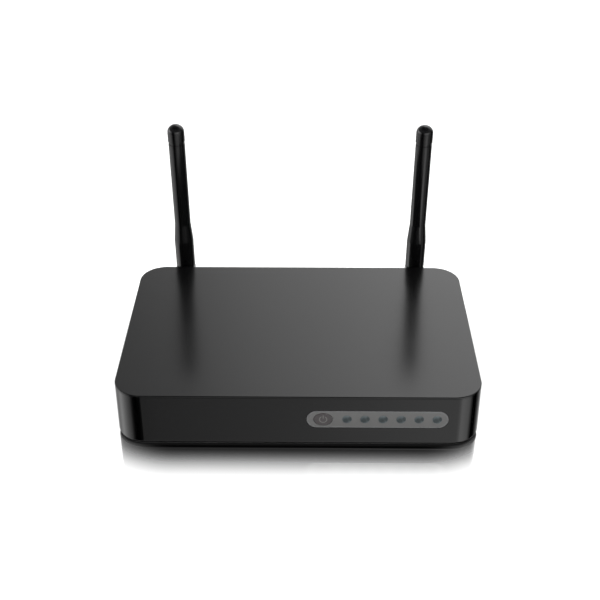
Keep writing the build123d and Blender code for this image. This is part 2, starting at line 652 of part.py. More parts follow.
with BuildPart() as lan_jack_shield:
    with BuildSketch(upright(PORT_FACE)):
        with Locations((LAN_X, LAN_BLOCK_MIDDLE)):
            Rectangle(LAN_BLOCK_WIDTH, LAN_BLOCK_HEIGHT)
    extrude(amount=LAN_DEPTH)
    with BuildSketch(upright(PORT_FACE - SHIELD_SHEET)):
        with Locations((LAN_X, LAN_BLOCK_MIDDLE - SHIELD_SHEET / 2)):
            Rectangle(LAN_BLOCK_WIDTH - 2 * SHIELD_SHEET, LAN_BLOCK_HEIGHT - SHIELD_SHEET)
    extrude(amount=LAN_DEPTH, mode=Mode.SUBTRACT)
    with BuildSketch(upright(PORT_FACE)):
        lan_outline(extra=SHIELD_MARGIN)
    extrude(amount=SHIELD_CUT, mode=Mode.SUBTRACT)
finish(lan_jack_shield, "lan_jack_shield")

CONTACT_PITCH = 1.02
CONTACT_WIDTH = 0.46
CONTACT_DROP = 1.0
CONTACT_START = PORT_FACE - 2.4
CONTACT_SLOPE = 6.5
CONTACT_END = CONTACT_START - 9.0
CONTACT_TIP = 0.3
CONTACTS = 8

with BuildPart() as lan_contacts:
    first_contact_x = LAN_XS[0] - CONTACT_PITCH * (CONTACTS - 1) / 2
    with BuildSketch(Plane.YZ.offset(first_contact_x - CONTACT_WIDTH / 2)):
        with BuildLine():
            Polyline(
                (CONTACT_START, LAN_ROOF),
                (CONTACT_START, LAN_ROOF - CONTACT_TIP),
                (CONTACT_START - CONTACT_SLOPE, LAN_ROOF - CONTACT_DROP),
                (CONTACT_END, LAN_ROOF - CONTACT_DROP + CONTACT_TIP),
                (CONTACT_END, LAN_ROOF),
                close=True,
            )
        make_face()
    extrude(amount=CONTACT_WIDTH)
    contact = lan_contacts.part
    steps = [(port, pin) for port in range(LAN_PORTS) for pin in range(CONTACTS)][1:]
    with Locations(*[(LAN_PITCH * port + CONTACT_PITCH * pin, 0, 0) for port, pin in steps]):
        add(contact)
finish(lan_contacts, "lan_contacts")

# ---------------------------------------------------------------- optical socket and its module

OPTICAL_FACE = REAR + 1.0
OPTICAL_DEPTH = 18.0
OPTICAL_MIDDLE = OPTICAL_BOTTOM + OPTICAL_HEIGHT / 2
OPTICAL_MOUTH = (9.6, 7.6)
OPTICAL_MOUTH_DEPTH = 13.0
KEYWAY_WIDTH = 4.0
FERRULE_RADIUS = 1.7
FERRULE_FRONT = OPTICAL_FACE - 6.0
FERRULE_LENGTH = 10.0
MODULE_SIZE = (13.0, 26.0, 9.0)
MODULE_CORNER = 1.0
OPTICAL_CORNER = 0.5
FERRULE_WALL = 0.45

with BuildPart() as optical_socket:
    with BuildSketch(upright(OPTICAL_FACE)):
        with Locations((OPTICAL_X, OPTICAL_MIDDLE)):
            RectangleRounded(OPTICAL_WIDTH, OPTICAL_HEIGHT, OPTICAL_CORNER)
    extrude(amount=OPTICAL_DEPTH)
    with BuildSketch(upright(OPTICAL_FACE)):
        with Locations((OPTICAL_X, OPTICAL_MIDDLE)):
            Rectangle(*OPTICAL_MOUTH)
        with Locations((OPTICAL_X, OPTICAL_MIDDLE + OPTICAL_HEIGHT / 2)):
            Rectangle(KEYWAY_WIDTH, OPTICAL_HEIGHT - OPTICAL_MOUTH[1])
    extrude(amount=OPTICAL_MOUTH_DEPTH, mode=Mode.SUBTRACT)
    with BuildSketch(upright(OPTICAL_FACE)):
        with Locations((OPTICAL_X, OPTICAL_MIDDLE)):
            Circle(FERRULE_RADIUS)
    extrude(amount=OPTICAL_DEPTH, mode=Mode.SUBTRACT)
finish(optical_socket, "optical_socket")

with BuildPart() as optical_sleeve:
    with BuildSketch(upright(FERRULE_FRONT)):
        with Locations((OPTICAL_X, OPTICAL_MIDDLE)):
            Circle(FERRULE_RADIUS)
            Circle(FERRULE_RADIUS - FERRULE_WALL, mode=Mode.SUBTRACT)
    extrude(amount=FERRULE_LENGTH)
finish(optical_sleeve, "optical_sleeve")

with BuildPart() as optical_module:
    with BuildSketch(upright(OPTICAL_FACE - OPTICAL_DEPTH)):
        with Locations((OPTICAL_X, OPTICAL_BOTTOM + MODULE_SIZE[2] / 2)):
            RectangleRounded(MODULE_SIZE[0], MODULE_SIZE[2], MODULE_CORNER)
    extrude(amount=MODULE_SIZE[1])
finish(optical_module, "optical_module")

# ---------------------------------------------------------------- USB socket

USB_DEPTH = 14.0
USB_SHEET = 0.35
USB_MIDDLE = USB_BOTTOM + USB_HEIGHT / 2
TONGUE_WIDTH = 11.1
TONGUE_THICKNESS = 1.8
TONGUE_TOP = USB_BOTTOM + USB_HEIGHT - USB_SHEET - 0.5
TONGUE_SETBACK = 1.0
USB_CORNER = 0.5
USB_PLUG_STOP = 2.5
USB_CONTACTS = 4
USB_CONTACT = (1.0, 0.2, 8.5)
USB_CONTACT_PITCH = 2.3

with BuildPart() as usb_shell:
    with BuildSketch(upright(PORT_FACE)):
        with Locations((USB_X, USB_MIDDLE)):
            RectangleRounded(USB_WIDTH, USB_HEIGHT, USB_CORNER)
    extrude(amount=USB_DEPTH)
    with BuildSketch(upright(PORT_FACE)):
        with Locations((USB_X, USB_MIDDLE)):
            Rectangle(USB_WIDTH - 2 * USB_SHEET, USB_HEIGHT - 2 * USB_SHEET)
    extrude(amount=USB_DEPTH - USB_SHEET, mode=Mode.SUBTRACT)
finish(usb_shell, "usb_shell")

with BuildPart() as usb_tongue:
    with BuildSketch(upright(PORT_FACE - TONGUE_SETBACK)):
        with Locations((USB_X, TONGUE_TOP - TONGUE_THICKNESS / 2)):
            Rectangle(TONGUE_WIDTH, TONGUE_THICKNESS)
    extrude(amount=USB_DEPTH - USB_SHEET - TONGUE_SETBACK)
    with BuildSketch(upright(PORT_FACE - USB_DEPTH + USB_SHEET + USB_PLUG_STOP)):
        with Locations((USB_X, USB_MIDDLE)):
            Rectangle(USB_WIDTH - 2 * USB_SHEET, USB_HEIGHT - 2 * USB_SHEET)
    extrude(amount=USB_PLUG_STOP)
finish(usb_tongue, "usb_tongue")

with BuildPart() as usb_contacts:
    with BuildSketch(upright(PORT_FACE - 2 * TONGUE_SETBACK)):
        with Locations((USB_X, TONGUE_TOP - TONGUE_THICKNESS - USB_CONTACT[1] / 2)):
            with GridLocations(USB_CONTACT_PITCH, 0, USB_CONTACTS, 1):
                Rectangle(USB_CONTACT[0], USB_CONTACT[1])
    extrude(amount=USB_CONTACT[2])
finish(usb_contacts, "usb_contacts")

# ---------------------------------------------------------------- power jack, power switch, reset switch

JACK_BODY = (9.0, 11.0)
JACK_DEPTH = 14.0
JACK_BORE = 3.1
JACK_BORE_DEPTH = 11.0
JACK_PIN = 1.05
JACK_PIN_LENGTH = 12.0
JACK_PIN_SETBACK = 2.0
JACK_PIN_EDGE = 0.3
JACK_FIT = 0.3
BARREL_FIT = 0.2

with BuildPart() as power_jack:
    with BuildSketch(upright(PANEL_INSIDE - JACK_FIT)):
        with Locations((POWER_JACK_X, BOARD_TOP + JACK_BODY[1] / 2)):
            Rectangle(*JACK_BODY)
    extrude(amount=JACK_DEPTH)
    with BuildSketch(upright(PORT_FACE)):
        with Locations((POWER_JACK_X, JACK_AXIS_Z)):
            Circle(JACK_BARREL - BARREL_FIT)
    extrude(amount=2 * WALL)
    with BuildSketch(upright(PORT_FACE)):
        with Locations((POWER_JACK_X, JACK_AXIS_Z)):
            Circle(JACK_BORE)
    extrude(amount=JACK_BORE_DEPTH, mode=Mode.SUBTRACT)
    with BuildSketch(upright(PORT_FACE)):
        with Locations((POWER_JACK_X, JACK_AXIS_Z)):
            Circle(JACK_PIN)
    extrude(amount=JACK_PIN_SETBACK + JACK_PIN_LENGTH, mode=Mode.SUBTRACT)
finish(power_jack, "power_jack")

with BuildPart() as power_jack_pin:
    with BuildSketch(upright(PORT_FACE - JACK_PIN_SETBACK)):
        with Locations((POWER_JACK_X, JACK_AXIS_Z)):
            Circle(JACK_PIN)
    extrude(amount=JACK_PIN_LENGTH)
    chamfer(power_jack_pin.faces().sort_by(Axis.Y)[-1].edges(), JACK_PIN_EDGE)
finish(power_jack_pin, "power_jack_pin")

SWITCH_REACH = 2.6  # how far the cap stands out of the rear face
SWITCH_CAP_BACK = REAR - 5.4
SWITCH_CAP_CORNER = 0.7
SWITCH_CAP_EDGE = 0.4
SWITCH_STEM = 2.5
SWITCH_STEM_LENGTH = 3.5
SWITCH_BODY_FRONT = SWITCH_CAP_BACK - 2.1
SWITCH_BODY = (7.4, 8.4, 11.0)  # width, height and depth
SWITCH_WELL = 4.5
SWITCH_STEM_FIT = 0.3

with BuildPart() as power_switch_cap:
    with BuildSketch(upright(REAR + SWITCH_REACH)):
        with Locations((SWITCH_X, SWITCH_AXIS_Z)):
            RectangleRounded(SWITCH_CAP, SWITCH_CAP, SWITCH_CAP_CORNER)
    extrude(amount=REAR + SWITCH_REACH - SWITCH_CAP_BACK)
    fillet(power_switch_cap.faces().sort_by(Axis.Y)[-1].edges(), SWITCH_CAP_EDGE)
    with BuildSketch(upright(SWITCH_CAP_BACK)):
        with Locations((SWITCH_X, SWITCH_AXIS_Z)):
            Rectangle(SWITCH_STEM, SWITCH_STEM)
    extrude(amount=SWITCH_STEM_LENGTH)
finish(power_switch_cap, "power_switch_cap")

with BuildPart() as power_switch_body:
    with BuildSketch(upright(SWITCH_BODY_FRONT)):
        with Locations((SWITCH_X, BOARD_TOP + SWITCH_BODY[1] / 2)):
            Rectangle(SWITCH_BODY[0], SWITCH_BODY[1])
    extrude(amount=SWITCH_BODY[2])
    with BuildSketch(upright(SWITCH_BODY_FRONT)):
        with Locations((SWITCH_X, SWITCH_AXIS_Z)):
            Rectangle(SWITCH_STEM + 2 * SWITCH_STEM_FIT, SWITCH_STEM + 2 * SWITCH_STEM_FIT)
    extrude(amount=SWITCH_WELL, mode=Mode.SUBTRACT)
finish(power_switch_body, "power_switch_body")

RESET_PLUNGER = 0.8
RESET_PLUNGER_FRONT = PANEL_INSIDE - 1.0
RESET_BODY_FRONT = RESET_PLUNGER_FRONT - 1.4
RESET_PLUNGER_LENGTH = 2.6
RESET_BODY = (4.4, 4.6, 3.6)  # width, height and depth
RESET_WELL = 2.2

with BuildPart() as reset_plunger:
    with BuildSketch(upright(RESET_PLUNGER_FRONT)):
        with Locations((RESET_X, RESET_AXIS_Z)):
            Circle(RESET_PLUNGER)
    extrude(amount=RESET_PLUNGER_LENGTH)
finish(reset_plunger, "reset_plunger")

with BuildPart() as reset_switch:
    with BuildSketch(upright(RESET_BODY_FRONT)):
        with Locations((RESET_X, BOARD_TOP + RESET_BODY[1] / 2)):
            Rectangle(RESET_BODY[0], RESET_BODY[1])
    extrude(amount=RESET_BODY[2])
    with BuildSketch(upright(RESET_BODY_FRONT)):
        with Locations((RESET_X, RESET_AXIS_Z)):
            Circle(RESET_PLUNGER + TACT_FIT)
    extrude(amount=RESET_WELL, mode=Mode.SUBTRACT)
finish(reset_switch, "reset_switch")

# ---------------------------------------------------------------- antennas

SWIVEL_FIT = 0.06
SWIVEL_SHAFT = SWIVEL_BORE - SWIVEL_FIT
SHAFT_BACK = PANEL_INSIDE - 3.4
GROOVE_RADIUS = 3.6
CLIP_THICKNESS = 1.0
CLIP_RADIUS = 6.0
CLIP_MOUTH = (2.4, 8.0)
CLIP_GROOVE = 1.0
FLANGE_GAP = 0.3
CLIP_OUTSIDE = PANEL_INSIDE - 0.3
COAX_BORE = 1.3
FLANGE_RADIUS = 5.9
FLANGE_OUTSIDE = REAR + COLLAR_STEP + 1.8
EAR_RADIUS = 5.1
EAR_HALF_WIDTH = 5.6
EAR_EDGE = 0.5
SLOT_HALF_WIDTH = 2.4
SLOT_RADIUS = 5.0
TONGUE_HALF_WIDTH = 2.1
TONGUE_RADIUS = 4.6
HINGE_PIN = 1.2
HINGE_FIT = 0.06
PIN_SETBACK = 0.2

# Heights along an antenna, above its fold axis
SLEEVE_START = 5.5
SLEEVE_END = 22.8
CONE_END = 34.0
ROD_END = 86.2
CAP_START = 87.8
SLEEVE_EDGE = 0.4
CAP_EDGE = 4.6
NECK_RADIUS = 4.4  # the cap's neck, seen as a groove between cap and rod
TONGUE_FLAT = 0.8
BORE_RADIUS = 2.9
BORE_START = 10.0
SPIGOT_LENGTH = 6.0
RADIATOR_BODY_END = 36.0
RADIATOR_WIRE = 0.6


def hinge_frame(side):
    """Where an antenna folds: Z runs up the leaning antenna, and X along its hinge pin."""
    across, up = cos(radians(LEAN)), sin(radians(LEAN))
    place = (side * ANTENNA_SPREAD / 2, HINGE_Y, HINGE_HEIGHT)
    return Plane(place, x_dir=(across, 0, -side * up), z_dir=(side * up, 0, across))


def long_section(frame):
    """The plane that holds the antenna's axis and its pin: X along the pin, Y up the antenna."""
    return Plane(frame.origin, x_dir=frame.x_dir, z_dir=-frame.y_dir)


def pin_section(frame, offset=0.0):
    """The plane square to the pin: X towards the rear, Y up the antenna."""
    return Plane(frame.origin, x_dir=frame.y_dir, z_dir=frame.x_dir).offset(offset)


def antenna(name, side):
    """One antenna with its hinge, clip and radiator, as six pieces."""
    frame = hinge_frame(side)
    spine = Axis(frame.origin, frame.z_dir)
    x = side * ANTENNA_SPREAD / 2

    with BuildPart() as ears:
        with BuildSketch(pin_section(frame)):
            Circle(EAR_RADIUS)
            with Locations(((FLANGE_OUTSIDE - HINGE_Y) / 2, 0)):
                Rectangle(HINGE_Y - FLANGE_OUTSIDE, 2 * EAR_RADIUS)
        extrude(amount=EAR_HALF_WIDTH, both=True)
        end_faces = ears.faces().filter_by(lambda face: abs(face.normal_at().dot(frame.x_dir)) > 0.999)
        chamfer(end_faces.edges(), EAR_EDGE)

    with BuildPart() as elbow:
        add(ears.part)
        with BuildSketch(upright(FLANGE_OUTSIDE)):
            with Locations((x, HINGE_HEIGHT)):
                Circle(SWIVEL_SHAFT)
        extrude(amount=FLANGE_OUTSIDE - SHAFT_BACK)
        with BuildSketch(upright(CLIP_OUTSIDE)):
            with Locations((x, HINGE_HEIGHT)):
                Circle(SWIVEL_SHAFT + CLIP_GROOVE)
                Circle(GROOVE_RADIUS, mode=Mode.SUBTRACT)
        extrude(amount=CLIP_THICKNESS, mode=Mode.SUBTRACT)
        with BuildSketch(upright(FLANGE_OUTSIDE)):
            with Locations((x, HINGE_HEIGHT)):
                Circle(FLANGE_RADIUS)
        extrude(amount=FLANGE_OUTSIDE - REAR - COLLAR_STEP - FLANGE_GAP)
        with BuildSketch(pin_section(frame)):
            Circle(SLOT_RADIUS)
            with Locations((EAR_RADIUS - SLOT_RADIUS / 2, 0)):
                Rectangle(2 * EAR_RADIUS + SLOT_RADIUS, 4 * EAR_RADIUS)
        extrude(amount=SLOT_HALF_WIDTH, both=True, mode=Mode.SUBTRACT)
        with BuildSketch(pin_section(frame)):
            Circle(HINGE_PIN)
        extrude(amount=EAR_HALF_WIDTH, both=True, mode=Mode.SUBTRACT)
        with BuildSketch(upright(HINGE_Y)):
            with Locations((x, HINGE_HEIGHT)):
                Circle(COAX_BORE)
        extrude(amount=HINGE_Y - SHAFT_BACK, mode=Mode.SUBTRACT)
    finish(elbow, f"antenna_{name}_elbow")

    with BuildPart() as clip:
        with BuildSketch(upright(CLIP_OUTSIDE)):
            with Locations((x, HINGE_HEIGHT)):
                Circle(CLIP_RADIUS)
                Circle(GROOVE_RADIUS, mode=Mode.SUBTRACT)
            with Locations((x, HINGE_HEIGHT - CLIP_RADIUS)):
                Rectangle(*CLIP_MOUTH, mode=Mode.SUBTRACT)
        extrude(amount=CLIP_THICKNESS)
    finish(clip, f"antenna_{name}_clip")

    with BuildPart() as hinge_pin:
        with BuildSketch(pin_section(frame)):
            Circle(HINGE_PIN)
        extrude(amount=EAR_HALF_WIDTH - PIN_SETBACK, both=True)
    finish(hinge_pin, f"antenna_{name}_hinge_pin")

    with BuildPart() as sheath:
        with BuildSketch(long_section(frame)):
            with BuildLine():
                Polyline(
                    (0, SLEEVE_START),
                    (SLEEVE_RADIUS - SLEEVE_EDGE, SLEEVE_START),
                    (SLEEVE_RADIUS, SLEEVE_START + SLEEVE_EDGE),
                    (SLEEVE_RADIUS, SLEEVE_END),
                    (ROD_RADIUS, CONE_END),
                    (ROD_RADIUS, ROD_END),
                    (BORE_RADIUS, ROD_END),
                    (BORE_RADIUS, BORE_START),
                    (0, BORE_START),
                    close=True,
                )
            make_face()
        revolve(axis=spine)
        with BuildSketch(pin_section(frame)):
            Circle(TONGUE_RADIUS)
            with Locations((0, (SLEEVE_START + SLEEVE_EDGE) / 2)):
                Rectangle(2 * (TONGUE_RADIUS - TONGUE_FLAT), SLEEVE_START + SLEEVE_EDGE)
        extrude(amount=TONGUE_HALF_WIDTH, both=True)
        with BuildSketch(pin_section(frame)):
            Circle(HINGE_PIN + HINGE_FIT)
        extrude(amount=EAR_HALF_WIDTH, both=True, mode=Mode.SUBTRACT)
    finish(sheath, f"antenna_{name}_sheath")

    with BuildPart() as cap:
        with BuildSketch(long_section(frame)):
            with BuildLine():
                Polyline(
                    (0, ANTENNA_LENGTH),
                    (0, ROD_END - SPIGOT_LENGTH),
                    (BORE_RADIUS, ROD_END - SPIGOT_LENGTH),
                    (BORE_RADIUS, ROD_END),
                    (NECK_RADIUS, ROD_END),
                    (NECK_RADIUS, CAP_START),
                    (CAP_RADIUS, CAP_START),
                    (CAP_RADIUS, ANTENNA_LENGTH),
                    close=True,
                )
            make_face()
        revolve(axis=spine)
        fillet(cap.faces().sort_by(spine)[-1].edges(), CAP_EDGE)
    finish(cap, f"antenna_{name}_cap")

    with BuildPart() as radiator:
        with BuildSketch(long_section(frame)):
            with BuildLine():
                Polyline(
                    (0, BORE_START),
                    (BORE_RADIUS, BORE_START),
                    (BORE_RADIUS, RADIATOR_BODY_END),
                    (RADIATOR_WIRE, RADIATOR_BODY_END),
                    (RADIATOR_WIRE, ROD_END - SPIGOT_LENGTH),
                    (0, ROD_END - SPIGOT_LENGTH),
                    close=True,
                )
            make_face()
        revolve(axis=spine)
    finish(radiator, f"antenna_{name}_radiator")


for antenna_name, antenna_side in ANTENNA_SIDES.items():
    antenna(antenna_name, antenna_side)

# ---------------------------------------------------------------- coaxial leads inside the case

COAX_RADIUS = 0.7
COAX_START = SHAFT_BACK - 0.3
CONNECTOR_SIDE = 3.2
CONNECTOR_HEIGHT = 2.6
CONNECTOR_X = 62.5
CONNECTOR_FACE = REAR - 40.0
COAX_LANDING = BOARD_TOP + 1.6
# Where each lead bends on its way from the swivel to its connector: across, before the rear, height
COAX_BENDS = [(68.5, 22.0, 17.5), (64.5, 30.0, 13.2), (CONNECTOR_X, 35.5, COAX_LANDING)]
COAX_STRAIGHT = 14.0

with BuildPart() as coax_connectors:
    with BuildSketch(Plane.XY.offset(BOARD_TOP)):
        with Locations(*[(s * CONNECTOR_X, CONNECTOR_FACE - CONNECTOR_SIDE / 2) for s in (-1, 1)]):
            Rectangle(CONNECTOR_SIDE, CONNECTOR_SIDE)
    extrude(amount=CONNECTOR_HEIGHT)
finish(coax_connectors, "coax_connectors")


def corner_radii(points):
    """The largest arc that suits each corner of a route: 0.45 of the shorter run beside it."""
    radii = []
    for before, corner, after in zip(points, points[1:], points[2:]):
        arriving, leaving = Vector(corner) - Vector(before), Vector(after) - Vector(corner)
        half_turn = radians(arriving.get_angle(leaving) / 2)
        radii.append(0.45 * min(arriving.length, leaving.length) / tan(half_turn))
    return radii


for antenna_name, antenna_side in ANTENNA_SIDES.items():
    route = [
        (antenna_side * ANTENNA_SPREAD / 2, COAX_START, HINGE_HEIGHT),
        (antenna_side * ANTENNA_SPREAD / 2, REAR - COAX_STRAIGHT, HINGE_HEIGHT),
        *[(antenna_side * across, REAR - back, height) for across, back, height in COAX_BENDS],
        (antenna_side * CONNECTOR_X, CONNECTOR_FACE, COAX_LANDING),
    ]
    bends = corner_radii(route)
    print(f"coax {antenna_name}: bend radii", [round(bend, 1) for bend in bends])
    with BuildPart() as coax:
        with BuildLine() as path:
            FilletPolyline(*route, radius=bends)
        with BuildSketch(Plane(route[0], z_dir=(0, -1, 0))):
            Circle(COAX_RADIUS)
        sweep(path=path.wires()[0])
    finish(coax, f"antenna_{antenna_name}_coax")
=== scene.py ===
"""Finishes and small visible parts of a desk-top optical network terminal.

The file is laid out as an add-on and is run as a script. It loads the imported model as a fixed
frame, gives every part of it a finish, adds the thin printed and moulded details, and sets the
stage. Everything is in metres.
"""

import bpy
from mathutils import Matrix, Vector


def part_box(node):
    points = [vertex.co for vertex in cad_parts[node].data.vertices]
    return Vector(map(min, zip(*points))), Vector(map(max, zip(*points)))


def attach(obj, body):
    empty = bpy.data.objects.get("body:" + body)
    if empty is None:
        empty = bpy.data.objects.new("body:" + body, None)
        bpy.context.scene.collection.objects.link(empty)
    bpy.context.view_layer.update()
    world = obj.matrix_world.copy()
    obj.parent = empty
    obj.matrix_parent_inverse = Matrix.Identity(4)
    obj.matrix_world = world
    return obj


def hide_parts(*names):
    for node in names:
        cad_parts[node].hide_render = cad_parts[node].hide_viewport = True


bl_info = {
    "name": "Optical Network Terminal",
    "version": (1, 0, 0),
    "blender": (4, 5, 0),
    "location": "View3D > Sidebar > Terminal",
    "description": "Finishes and details for a flat network terminal with two folding antennas",
    "category": "Object",
}

from math import cos, pi, radians, sin

import bpy
import numpy as np
from bpy.props import FloatProperty, FloatVectorProperty, PointerProperty
from bpy.types import Operator, Panel, PropertyGroup
from mathutils import Vector

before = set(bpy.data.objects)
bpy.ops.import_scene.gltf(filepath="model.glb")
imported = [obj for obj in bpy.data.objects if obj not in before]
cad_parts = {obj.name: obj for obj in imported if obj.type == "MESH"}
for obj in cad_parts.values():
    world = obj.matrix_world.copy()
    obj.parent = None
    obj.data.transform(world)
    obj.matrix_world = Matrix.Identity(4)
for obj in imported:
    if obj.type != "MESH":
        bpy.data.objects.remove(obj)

MM = 0.001
SIDES = ("left", "right")


# ---- Places read from the frame ----

def node_box(name):
    """The lowest and highest corners of a CAD node, as arrays."""
    low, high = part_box(name)
    return np.array(low), np.array(high)


def middle(name):
    """The centre of a CAD node's box."""
    low, high = node_box(name)
    return (low + high) / 2


BAND_LOW, BAND_HIGH = node_box("front_band")
WINDOW_LOW, WINDOW_HIGH = node_box("lamp_window")
CASE_MIDDLE = (BAND_LOW + BAND_HIGH) / 2
REAR = BAND_HIGH[1]
TOP = node_box("top_cover")[1][2]
HALF_WIDTH = BAND_HIGH[0]
HALF_DEPTH = (REAR - BAND_LOW[1]) / 2
CORNER = 15.0 * MM
PANEL_FACE = REAR - 0.2 * MM
MARK_Z = BAND_HIGH[2] - 5.2 * MM


# ---- Settings ----

def colour(name, description, default):
    """A linear colour property."""
    return FloatVectorProperty(
        name=name, description=description, default=default, subtype="COLOR", size=3, min=0.0, max=1.0
    )


def number(name, description, default, **kinds):
    """A number property."""
    return FloatProperty(name=name, description=description, default=default, **kinds)


def share(name, description, default):
    """A property between nothing and one."""
    return number(name, description, default, min=0.0, max=1.0, subtype="FACTOR")


def length(name, description, default):
    """A length property, in metres."""
    return number(name, description, default, min=0.0, unit="LENGTH")


class CaseFinish(PropertyGroup):
    """Colours and surfaces of the case mouldings."""

    cover_colour: colour("Cover", "Matt top plate", (0.0012, 0.0012, 0.0013))
    cover_roughness: share("Cover roughness", "How far the top plate blurs what it reflects", 0.2)
    grain_size: length("Grain size", "Width of one grain of the moulded texture", 0.00035)
    grain_depth: length("Grain depth", "Height of the moulded texture", 0.000004)
    band_colour: colour("Band", "Polished band round the case", (0.0008, 0.0008, 0.0009))
    band_roughness: share("Band roughness", "Polish of the band", 0.04)
    tray_colour: colour("Tray", "Dull black bottom tray", (0.0015, 0.0015, 0.0016))
    tray_roughness: share("Tray roughness", "Surface of the bottom tray", 0.32)
    panel_colour: colour("Rear panel", "Rear panel round the sockets", (0.01, 0.01, 0.0105))
    panel_roughness: share("Panel roughness", "Surface of the rear panel", 0.5)
    rubber_colour: colour("Feet", "Rubber feet", (0.02, 0.02, 0.02))


class WindowFinish(PropertyGroup):
    """Colours and sizes of the lamp window and what is in it."""

    plate_colour: colour("Plate", "Grey window plate", (0.140, 0.140, 0.138))
    # The rim's colour is a little paler than the plate's as a painted highlight.
    rim_highlight_colour: colour("Rim", "Raised rim of the window", (0.146, 0.147, 0.148))
    rim_width: length("Rim width", "Width of the raised rim", 0.0008)
    rim_height: length("Rim height", "How far the rim stands out of the plate", 0.0001)
    lens_dark: colour("Dark lens", "Dark lobes of each lamp lens", (0.020, 0.030, 0.034))
    # The pale lens colour is a painted glint on each lamp lens.
    lens_painted_glint: colour("Pale lens", "Paler part of each lamp lens", (0.100, 0.124, 0.130))
    button_colour: colour("Button", "Oval power button", (0.062, 0.055, 0.056))
    symbol_colour: colour("Symbol", "Power symbol on the button", (0.18, 0.175, 0.17))


class AntennaFinish(PropertyGroup):
    """Surface of the two antennas."""

    plastic_colour: colour("Sheath", "Satin black sheath, cap and elbow", (0.002, 0.002, 0.0022))
    plastic_roughness: share("Sheath roughness", "Surface of the sheath", 0.16)
    seam_width: length("Seam width", "Width of the mould's parting line", 0.0004)
    seam_height: length("Seam height", "How far the parting line stands out", 0.00002)


class MarkFinish(PropertyGroup):
    """Colour and size of the marks over the rear sockets."""

    mark_colour: colour("Ink", "Printed marks", (0.32, 0.32, 0.33))
    mark_size: length("Mark size", "Radius of a round mark", 0.0011)
    mark_line: length("Line width", "Width of a mark's lines", 0.0004)
    port_pitch: length("Port pitch", "From one network port to the next", 0.01397)


class StageLook(PropertyGroup):
    """Floor, surroundings and camera."""

    floor_radius: length("Floor radius", "Half the floor's width", 6.0)
    floor_colour: colour("Floor", "Plain pale floor", (0.93, 0.93, 0.93))
    reflection_reach: length("Reflection reach", "How far from the case the floor mirrors it", 0.0222)
    reflection_corner: length("Reflection corner", "Corner radius of the patch of floor that mirrors", 0.032)
    lens_length: number("Lens", "Focal length in millimetres", 66.0, min=10.0)
    camera_pitch: number("Pitch", "How far the camera looks down", radians(32.06), unit="ROTATION")
    camera_distance: length("Distance", "From the camera to what it aims at", 0.6057)
    aim_height: length("Aim height", "Above the case's top", 0.0173)
    camera_side: number("Side", "How far the camera stands to the right of its aim", 0.0046, unit="LENGTH")
    aim_side: number("Aim side", "How far right of the case's middle it aims", 0.0006, unit="LENGTH")
    soft_light: number("Soft light", "Power of the overhead light in watts", 40.0, min=0.0)
    card_level: number("Card level", "Brightness of the light cards at each side", 1.75, min=0.0)


# ---- Surfaces worked out as arrays ----

def grid_faces(rows, columns, wrap_rows=False, wrap_columns=False):
    """Quads that join a grid of points to its neighbours, row after row."""
    last_row = rows if wrap_rows else rows - 1
    last_column = columns if wrap_columns else columns - 1
    r, c = np.meshgrid(np.arange(last_row), np.arange(last_column), indexing="ij")
    r_next, c_next = (r + 1) % rows, (c + 1) % columns
    corners = np.stack(
        [r * columns + c, r * columns + c_next, r_next * columns + c_next, r_next * columns + c], axis=-1
    )
    return corners.reshape(-1, 4)


def add_object(name, data):
    """A new object in the scene."""
    made = bpy.data.objects.new(name, data)
    bpy.context.scene.collection.objects.link(made)
    return made


def mesh_piece(name, points, faces, material, body, smooth=True):
    """A mesh object from an array of points and a list of faces, in place, riding on a body."""
    mesh = bpy.data.meshes.new(name)
    mesh.from_pydata(np.asarray(points, float).reshape(-1, 3).tolist(), [], [list(map(int, f)) for f in faces])
    mesh.validate()
    mesh.polygons.foreach_set("use_smooth", [smooth] * len(mesh.polygons))
    mesh.materials.append(material)
    mesh.update()
    piece = add_object(name, mesh)
    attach(piece, body)
    return piece


def joined(parts):
    """Several (points, faces) pairs as one, with each pair's faces moved on past the points before it."""
    points, faces, start = [], [], 0
    for part_points, part_faces in parts:
        part_points = np.asarray(part_points, float).reshape(-1, 3)
        points.append(part_points)
        faces.extend([[index + start for index in face] for face in np.asarray(part_faces, dtype=object).tolist()])
        start += len(part_points)
    return np.concatenate(points), faces


def lathe(profile, centre, axis, across, steps):
    """A turned shape, closed at both ends.

    The profile is (radius, height) pairs from one end to the other. The point at angle a and profile
    place p is centre + height(p) axis + radius(p) (cos a across + sin a (axis x across)).
    """
    profile = np.asarray(profile, float)
    axis, across = np.asarray(axis, float), np.asarray(across, float)
    side = np.cross(axis, across)
    angles = np.linspace(0, 2 * pi, steps, endpoint=False)
    ring = np.cos(angles)[:, None] * across + np.sin(angles)[:, None] * side
    points = (
        np.asarray(centre, float)
        + profile[:, 1][:, None, None] * axis
        + profile[:, 0][:, None, None] * ring[None, :, :]
    )
    faces = grid_faces(len(profile), steps, wrap_columns=True).tolist()
    faces.append(list(range(steps))[::-1])
    faces.append([(len(profile) - 1) * steps + i for i in range(steps)])
    return points.reshape(-1, 3), faces


def capsule_outline(half_length, radius):
    """Points round a capsule that lies along X, and the outward direction at each, as (x, z) pairs."""
    steps = 24
    right = np.linspace(-pi / 2, pi / 2, steps)
    directions = np.concatenate([right, right + pi])
    outward = np.stack([np.cos(directions), np.sin(directions)], axis=1)
    ends = np.sign(outward[:, 0])
    ends[: steps], ends[steps:] = 1, -1
    centres = np.stack([ends * (half_length - radius), np.zeros(2 * steps)], axis=1)
    return centres + radius * outward, outward


